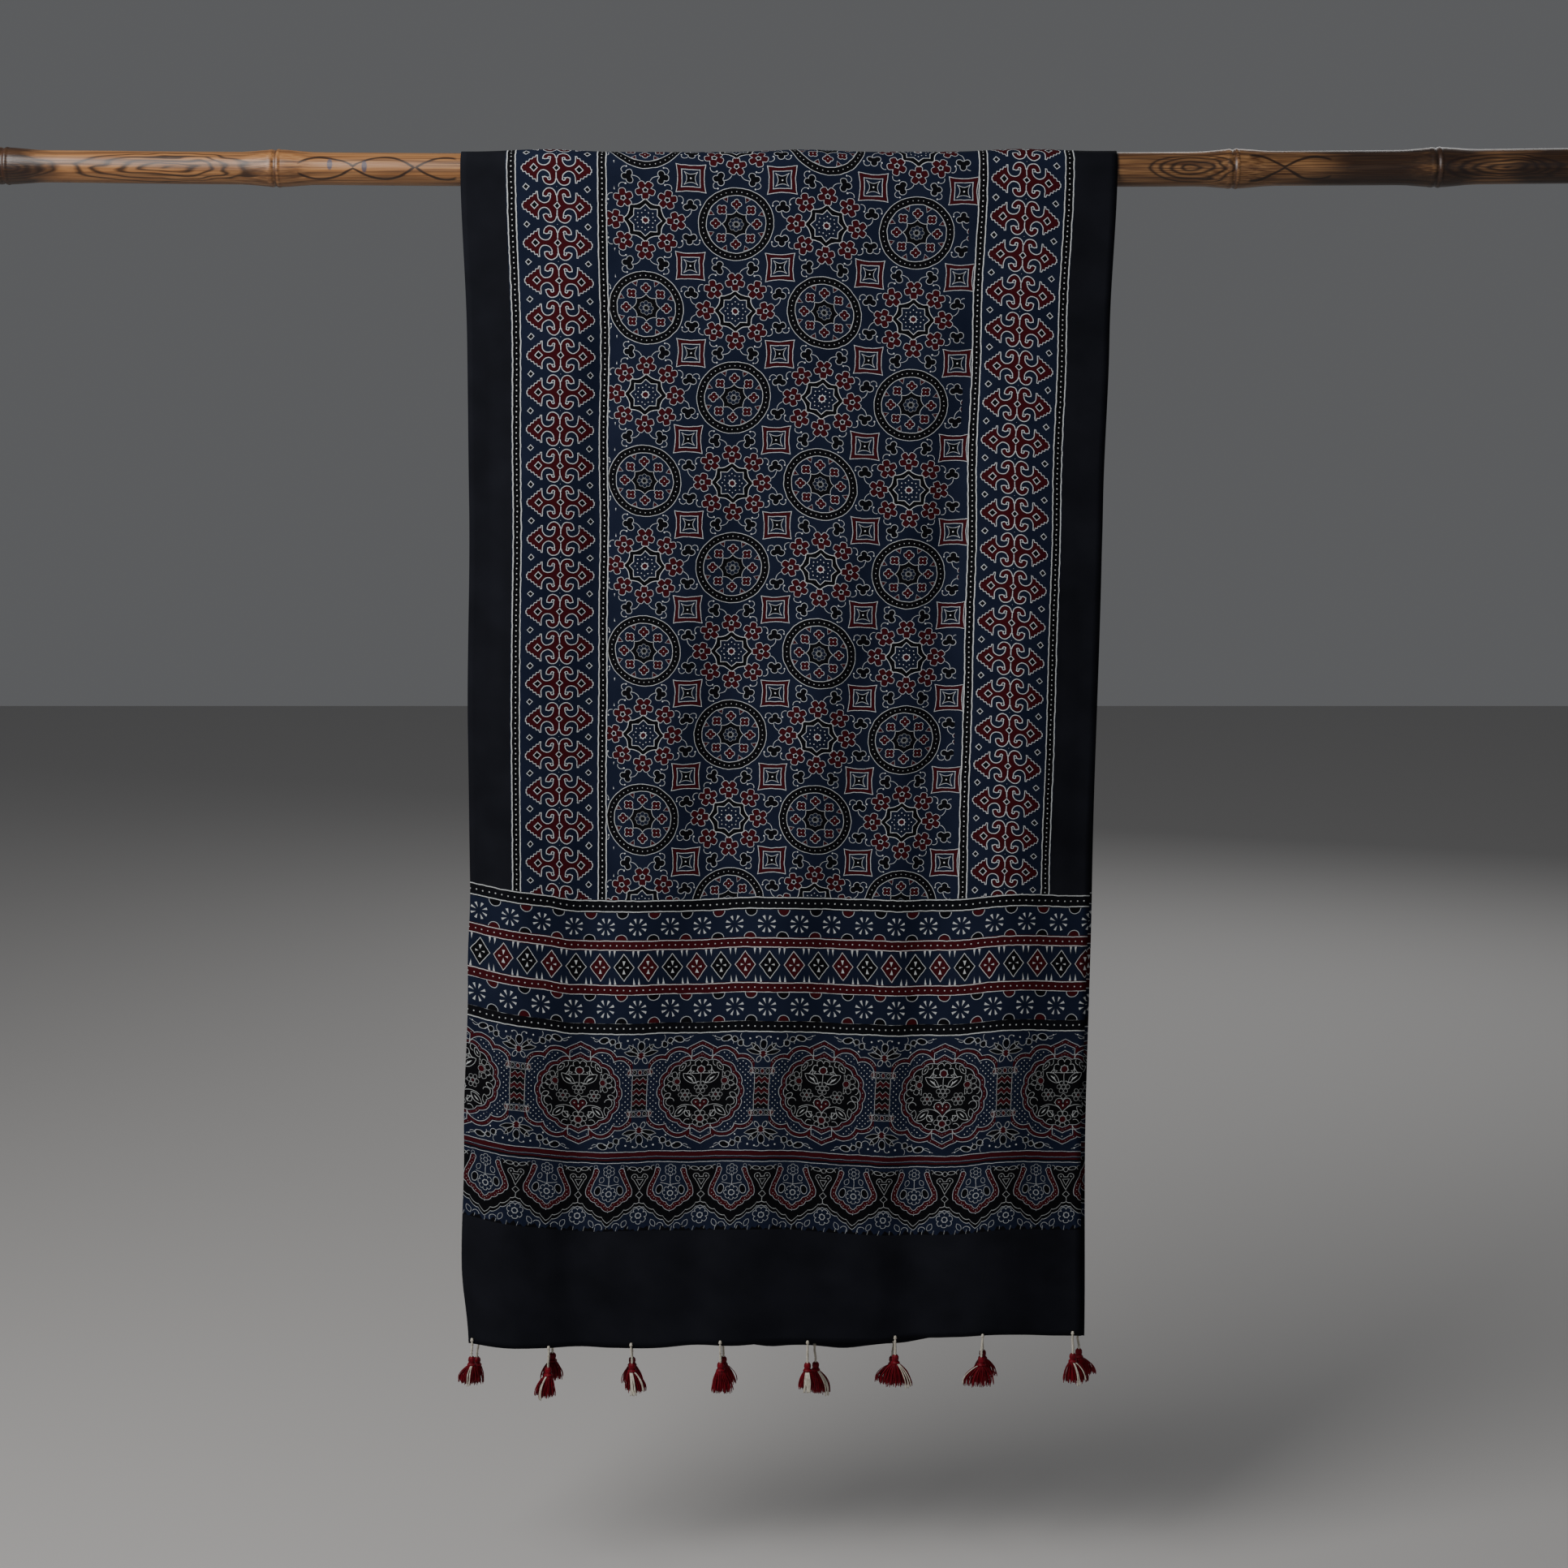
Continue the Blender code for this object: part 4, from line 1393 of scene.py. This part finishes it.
class Shell:
    """Collects the points and faces of a piece that is made of tubes."""

    def __init__(self):
        self.points = []
        self.faces = []
        self.slots = []
        self.tubes = []

    def tube(self, centres, radii, sides, slot, lobes=0, turn_by_ring=0.0, lobe_depth=0.0):
        """Adds a tube whose centres run downwards. Lobes give it plies or ridges."""
        start = len(self.points)
        for ring, (centre, radius) in enumerate(zip(centres, radii)):
            for side in range(sides):
                turn = 2.0 * math.pi * side / sides
                swell = 1.0 + lobe_depth * math.cos(lobes * (turn - turn_by_ring * ring))
                self.points.append(centre + radius * swell * Vector((math.cos(turn), math.sin(turn), 0.0)))
        first = len(self.faces)
        for ring in range(len(centres) - 1):
            upper = start + ring * sides
            for side in range(sides):
                after = (side + 1) % sides
                self.faces.append((upper + after, upper + side, upper + sides + side, upper + sides + after))
        last = start + (len(centres) - 1) * sides
        self.faces.append(tuple(range(start, start + sides)))
        self.faces.append(tuple(reversed(range(last, last + sides))))
        self.slots += [slot] * (len(self.faces) - first)
        self.tubes.append((first, sides, len(centres) - 1))

    def build(self, name, materials):
        """The finished piece, with each tube in a column of its own on the baked map."""
        mesh = bpy.data.meshes.new(name)
        mesh.from_pydata(self.points, [], self.faces)
        chart = []
        share = 1.0 / len(self.tubes)
        for number, (first, sides, rings) in enumerate(self.tubes):
            for ring in range(rings):
                for side in range(sides):
                    left = share * (number + 0.08 + 0.84 * side / sides)
                    right = share * (number + 0.08 + 0.84 * (side + 1) / sides)
                    top = 1.0 - 0.98 * ring / rings
                    low = 1.0 - 0.98 * (ring + 1) / rings
                    chart.append([(right, top), (left, top), (left, low), (right, low)])
            for cap in range(2):
                middle = share * (number + 0.3 + 0.4 * cap)
                turns = [2.0 * math.pi * side / sides for side in range(sides)]
                wide = 0.1 * share
                chart.append([(middle + wide * math.cos(t), 0.01 + 0.004 * math.sin(t)) for t in turns])
        fill_chart(mesh, "OFBake", chart)
        mesh.polygons.foreach_set("material_index", self.slots)
        mesh.shade_smooth()
        for material in materials:
            mesh.materials.append(material)
        return add(mesh, name)


def quarter_turn(across):
    """How much of the cloth lies on the rod, from its top to where it starts to hang straight."""
    wrap_radius = rod_radius(across, CLOTH_SWELL_HALF_WIDTH) + ROD_GAP + 0.5 * SOLID_THICKNESS
    return 0.5 * math.pi * wrap_radius


def hem_point(across, side, drop):
    """A point of a hem, on the straight run between the two neighbouring columns of the solid's grid."""
    place = SOLID_COLUMNS * (across / CLOTH_WIDTH + 0.5)
    ends = []
    for column in (math.floor(place), math.floor(place) + 1):
        grid_across = CLOTH_WIDTH * (column / SOLID_COLUMNS - 0.5)
        ends.append(cloth_point(grid_across, side * (quarter_turn(grid_across) + drop)))
    return ends[0].lerp(ends[1], place % 1.0)


def along_line(knots, step):
    """Points and radii at even steps along a line of (place, radius), eased between its rows."""
    places = []
    radii = []
    for (start, thick), (end, thin) in zip(knots, knots[1:]):
        parts = max(1, round((end - start).length / step))
        for number in range(parts):
            share = number / parts
            places.append(start.lerp(end, share))
            radii.append(thick + (thin - thick) * share * share * (3.0 - 2.0 * share))
    return places + [knots[-1][0]], radii + [knots[-1][1]]


def add_cord(shell, top, hem, cord):
    """The twisted white cord of a tassel: a leg on each side of the hem, from its knot down to the head."""
    reach = 0.5 * SOLID_THICKNESS + CORD_CLEARANCE + CORD_RADIUS
    apart = (1.0 - LEGS_PARTED_BY) * CORD_RADIUS + LEGS_PARTED_BY * reach
    for way in (-1.0, 1.0):
        out = Vector((0.0, way * (reach + KNOT_RADIUS - CORD_RADIUS), KNOT_ABOVE_HEM))
        close = Vector((0.0, way * reach, 0.0))
        knots = (
            (hem + out + Vector((0.0, 0.0, 0.0013)), 0.3 * KNOT_RADIUS),
            (hem + out + Vector((0.0, 0.0, 0.0007)), 0.85 * KNOT_RADIUS),
            (hem + out, KNOT_RADIUS),
            (hem + out - Vector((0.0, 0.0, 0.0012)), 0.95 * KNOT_RADIUS),
            (hem + close + Vector((0.0, 0.0, 0.0018)), CORD_RADIUS),
            (hem + close - Vector((0.0, 0.0, 0.0022)), CORD_RADIUS),
            (top + Vector((0.0, way * apart, LEGS_PART_AT * cord)), 1.06 * CORD_RADIUS),
            (top + Vector((0.0, way * 0.7 * CORD_RADIUS, -0.0006)), CORD_RADIUS),
        )
        places, radii = along_line(knots, 0.00035)
        shell.tube(places, radii, 10, 1, lobes=2, turn_by_ring=0.42, lobe_depth=0.17)


def add_head(shell, top):
    """The bound head: a small ball of threads, a tight neck and the shoulder of the skirt."""
    knots = [(top - Vector((0.0, 0.0, below)), radius) for below, radius in HEAD_PROFILE]
    places, radii = along_line(knots, 0.0004)
    shell.tube(places, radii, 28, 0, lobes=9, turn_by_ring=0.03, lobe_depth=0.045)
    for turn in range(NECK_TURNS):
        middle = top - Vector((0.0, 0.0, NECK_BELOW - 0.0007 * turn))
        rings = [middle + Vector((0.0, 0.0, 0.0004 * (1.0 - step / 3.0))) for step in range(7)]
        thick = [0.0023 + 0.0006 * math.sin(math.pi * step / 6.0) for step in range(7)]
        shell.tube(rings, thick, 20, 0)


def thread_line(chance, start, tip, rings):
    """A thread of the skirt: it flares out under the head, then hangs down, slightly wavy."""
    phase = chance.uniform(0.0, 2.0 * math.pi)
    loose = chance.uniform(0.0002, 0.0006)
    places = []
    for ring in range(rings + 1):
        share = ring / rings
        out = 1.0 - (1.0 - share) ** 2.3
        wander = loose * share * math.sin(phase + 5.0 * share)
        across = start.lerp(tip, out)
        places.append(Vector((across.x + wander, across.y + wander, start.z + (tip.z - start.z) * share)))
    return places


def add_skirt(shell, chance, top, skirt, spread, lean, whites):
    """The loose threads, most of them red, with a few white ones on the front."""
    for number in range(SKIRT_THREADS):
        turn = GOLDEN_TURN * number
        reach = math.sqrt((number + 0.5) / SKIRT_THREADS)
        way = Vector((math.cos(turn), math.sin(turn), 0.0))
        start = top + way * 0.0034 * reach - Vector((0.0, 0.0, 0.0068 + 0.0012 * reach))
        tip = top + Vector(
            (
                0.5 * spread * reach * way.x * chance.uniform(0.88, 1.06) + lean,
                0.5 * SKIRT_DEPTH * reach * way.y * chance.uniform(0.88, 1.06),
                -skirt + chance.uniform(0.0, 0.9 * SKIRT_UNEVEN) + 0.0015 * reach,
            )
        )
        places = thread_line(chance, start, tip, 9)
        shell.tube(places, [THREAD_RADIUS] * 9 + [0.6 * THREAD_RADIUS], 4, 0)
    for turn, length_share in whites:
        way = Vector((math.cos(math.radians(turn)), math.sin(math.radians(turn)), 0.0))
        start = top + way * 0.0040 - Vector((0.0, 0.0, 0.0078))
        low = -0.0078 - (skirt - 0.0080) * length_share
        tip = top + Vector((0.52 * spread * way.x + lean, 0.54 * SKIRT_DEPTH * way.y, low))
        places = thread_line(chance, start, tip, 14)
        radii = [1.25 * THREAD_RADIUS] * 14 + [THREAD_RADIUS]
        shell.tube(places, radii, 6, 1, lobes=2, turn_by_ring=0.5, lobe_depth=0.12)


def build_tassels(side_name, side, rows, drop, materials):
    """A row of tassels along one hem, each in the place of its solid."""
    for number, (across, cord, skirt, spread, lean) in enumerate(rows, start=1):
        node = f"tassel_{side_name}_{number}"
        chance = random.Random(100 * number + (7 if side > 0.0 else 0))
        hem = hem_point(across, side, drop)
        top = hem + Vector((HEAD_LEAN * lean, 0.0, -cord))
        shell = Shell()
        add_cord(shell, top, hem, cord)
        add_head(shell, top)
        add_skirt(shell, chance, top, skirt, spread, lean, WHITE_THREADS.get(node, ()))
        piece = shell.build(f"threads_{side_name}_{number}", materials)
        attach(piece, "root")
        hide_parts(node)


def thread_material(name, dark, pale):
    """Silky thread, with painted shade between the strands."""
    material, tree, shader = new_material(name)
    place = tree.nodes.new("ShaderNodeTexCoord")
    spot = vector_maths("MULTIPLY", Point(tree, place.outputs["Object"]), (1.0, 1.0, 0.12))
    strand = noise(tree, spot.outputs[0], 1500.0, 2.0)
    blotch = noise(tree, place.outputs["Object"], 160.0, 1.0)
    # Painted shade between the strands: streaky noise mixes the shaded colour into the thread's own, with
    # blotches of random tone.
    share = maths("MULTIPLY_ADD", strand * 0.75 + blotch * 0.25, 2.6, -0.8, clamp=True)
    tree.links.new(mixed(tree, share, dark, pale), shader.inputs["Base Color"])
    add_bump(tree, shader, strand, 0.35, 0.0002)
    shader.inputs["Roughness"].default_value = 0.55
    shader.inputs["Specular IOR Level"].default_value = 0.20
    return material


def joint_relief(x):
    """The raised scar and the groove of the nearest joint, in metres."""
    off = min((x - place for place in JOINT_PLACES), key=abs)
    return sum(height * hump(off - place, half_width) for place, half_width, height in JOINT_RELIEF)


def rod_places():
    """Where the rings of the rod lie, closer together at the joints."""
    places = set()
    steps = round(ROD_LENGTH / ROD_STEP)
    for number in range(steps + 1):
        places.add(round(ROD_LENGTH * (number / steps - 0.5), 5))
    for joint in JOINT_PLACES:
        places.update(round(joint + 0.0007 * number, 5) for number in range(-14, 10))
    return sorted(places)


def build_rod():
    """The bamboo rod, with a scar and a groove at each joint and slightly uneven sides."""
    places = rod_places()
    points = []
    chart = []
    faces = []
    for x in places:
        radius = rod_radius(x, JOINT_HALF_WIDTH) + joint_relief(x)
        height = rod_height(x)
        for side in range(ROD_SIDES):
            turn = 2.0 * math.pi * side / ROD_SIDES
            uneven = 0.00012 * math.sin(3.0 * turn + 9.0 * x) + 0.00008 * math.sin(5.0 * turn - 31.0 * x)
            reach = radius + uneven
            points.append(Vector((x, reach * math.cos(turn), height + reach * math.sin(turn))))
    for ring in range(len(places) - 1):
        for side in range(ROD_SIDES):
            following = (side + 1) % ROD_SIDES
            low = ring * ROD_SIDES
            faces.append((low + side, low + following, low + ROD_SIDES + following, low + ROD_SIDES + side))
            run = [place / ROD_LENGTH + 0.5 for place in (places[ring], places[ring + 1])]
            corners = ((0, 0), (0, 1), (1, 1), (1, 0))
            chart.append([rod_bake_place(run[end], side + step) for end, step in corners])
    last = len(points) - ROD_SIDES
    faces.append(tuple(reversed(range(ROD_SIDES))))
    faces.append(tuple(range(last, last + ROD_SIDES)))
    turns = [2.0 * math.pi * side / ROD_SIDES for side in range(ROD_SIDES)]
    chart.append([(0.2 + 0.05 * math.cos(turn), 0.94 + 0.05 * math.sin(turn)) for turn in reversed(turns)])
    chart.append([(0.6 + 0.05 * math.cos(turn), 0.94 + 0.05 * math.sin(turn)) for turn in turns])
    mesh = bpy.data.meshes.new("rod")
    mesh.from_pydata(points, [], faces)
    fill_chart(mesh, "OFBake", chart)
    mesh.shade_smooth()
    mesh.materials.append(rod_material())
    rod = add(mesh, "bamboo_culm")
    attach(rod, "root")
    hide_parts("bamboo_rod")


def rod_bake_place(run, side):
    """Where the rod's side goes on the baked map: in six lengths, one above the other."""
    strip = min(int(run * ROD_STRIPS - 1e-6), ROD_STRIPS - 1)
    return run * ROD_STRIPS - strip, (strip + 0.03 + 0.94 * side / ROD_SIDES) * 0.87 / ROD_STRIPS


def rod_grain(tree, spot, along, across, detail):
    """Noise that is drawn out along the rod."""
    return noise(tree, vector_maths("MULTIPLY", spot, (along, across, across)).outputs[0], 1.0, detail)


def darkened(tree, colour, edge, slope, level, most_share, tint):
    """The colour with a tint laid over it where edge is low."""
    share = maths("MULTIPLY_ADD", edge, slope, level, clamp=True) * most_share
    return mixed(tree, share, colour, tint)


def scorched(tree, colour, x, around, bend):
    """Crossing loops and nested ovals, burnt into the skin."""
    swing = abs(maths("SINE", (x - LOOP_START) * (math.pi / LOOP_LENGTH)))
    loops = line(around + bend * 4.0 - swing * 9.5 - 0.4, 2.3)
    outside = least(*(abs(x - middle) - half_long for middle, half_long in LOOP_PLACES))
    colour = darkened(tree, colour, most(loops, outside * 0.3), -1.2, 0.4, 0.9, ROD_SCORCH)
    for middle, half_long, half_wide in SCORCHED_OVALS:
        along = (x - middle) * (1.0 / half_long) + bend * 0.5
        reach = length(point_of(along, around * (1.0 / half_wide) + bend * 0.6))
        rings = most(line(repeat(reach, 0.25), 1.6 / half_wide), reach - 1.05) * half_wide
        colour = darkened(tree, colour, rings, -1.2, 0.3, 0.85, ROD_SCORCH)
    return colour


def rod_colour(tree, spot, fibre, streak):
    """Tan on the left and brown on the right, with streaks, smoke, scorched marks, dye and dark joints."""
    x = spot.x
    arc_place = maths("ARCTAN2", spot.part(2) - 2.0, -spot.y) * 14.0
    around = wave(arc_place, HALF_ROUND)
    right = maths("MULTIPLY_ADD", x, 1.0 / 500.0, 0.5, clamp=True)
    smoke = rod_grain(tree, spot, 0.014, 0.07, 3.0)
    bend = rod_grain(tree, spot, 0.03, 0.12, 1.0) - 0.5
    colour = mixed(tree, right, ROD_TAN, ROD_BROWN)
    colour = mixed(tree, maths("MULTIPLY_ADD", fibre, 2.6, -0.95, clamp=True), colour, ROD_PALE)
    colour = darkened(tree, colour, streak, 4.2, -1.9, 0.8, ROD_UMBER)
    stain = least(*(abs(x - middle) * (1.0 / half_long) for middle, half_long in SMOKY_PLACES))
    colour = darkened(tree, colour, smoke * 2.4 - stain, 1.2, 0.1, 0.85, ROD_SCORCH)
    colour = scorched(tree, colour, x, around, bend)
    spread = point_of(x * 2.2, arc_place)
    dye = least(*(distance(spread, middle * 2.2, up) for middle, up in DYE_SPOTS)) - 6.0
    colour = darkened(tree, colour, dye, -0.5, 0.0, 0.85, DYE_BLUE)
    joints = least(*(abs(x - 1000.0 * joint + 1.6) for joint in JOINT_PLACES))
    return darkened(tree, colour, joints, -0.55, 1.0, 0.8, ROD_UMBER)


def rod_material():
    """The glossy skin of the bamboo, with fine fibres along it."""
    material, tree, shader = new_material("bamboo_skin")
    place = tree.nodes.new("ShaderNodeTexCoord")
    spot = Point(tree, scaled(tree, place.outputs["Object"], 1000.0))
    fibre = rod_grain(tree, spot, 0.02, 1.3, 3.0)
    streak = rod_grain(tree, spot, 0.008, 0.35, 2.0)
    tree.links.new(rod_colour(tree, spot, fibre, streak), shader.inputs["Base Color"])
    add_bump(tree, shader, fibre, 0.35, 0.0004)
    tree.links.new(maths("MULTIPLY_ADD", streak, 0.35, 0.22).socket, shader.inputs["Roughness"])
    shader.inputs["Coat Weight"].default_value = 0.12
    shader.inputs["Coat Roughness"].default_value = 0.25
    return material


def main():
    set_camera()
    set_studio()
    cloth = build_cloth()
    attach(cloth, "root")
    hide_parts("cloth")
    red = thread_material("red_thread", *RED_THREAD)
    white = thread_material("white_thread", *WHITE_THREAD)
    build_tassels("front", -1.0, FRONT_TASSELS, FRONT_DROP, (red, white))
    build_tassels("back", 1.0, BACK_TASSELS, BACK_DROP, (red, white))
    build_rod()


main()
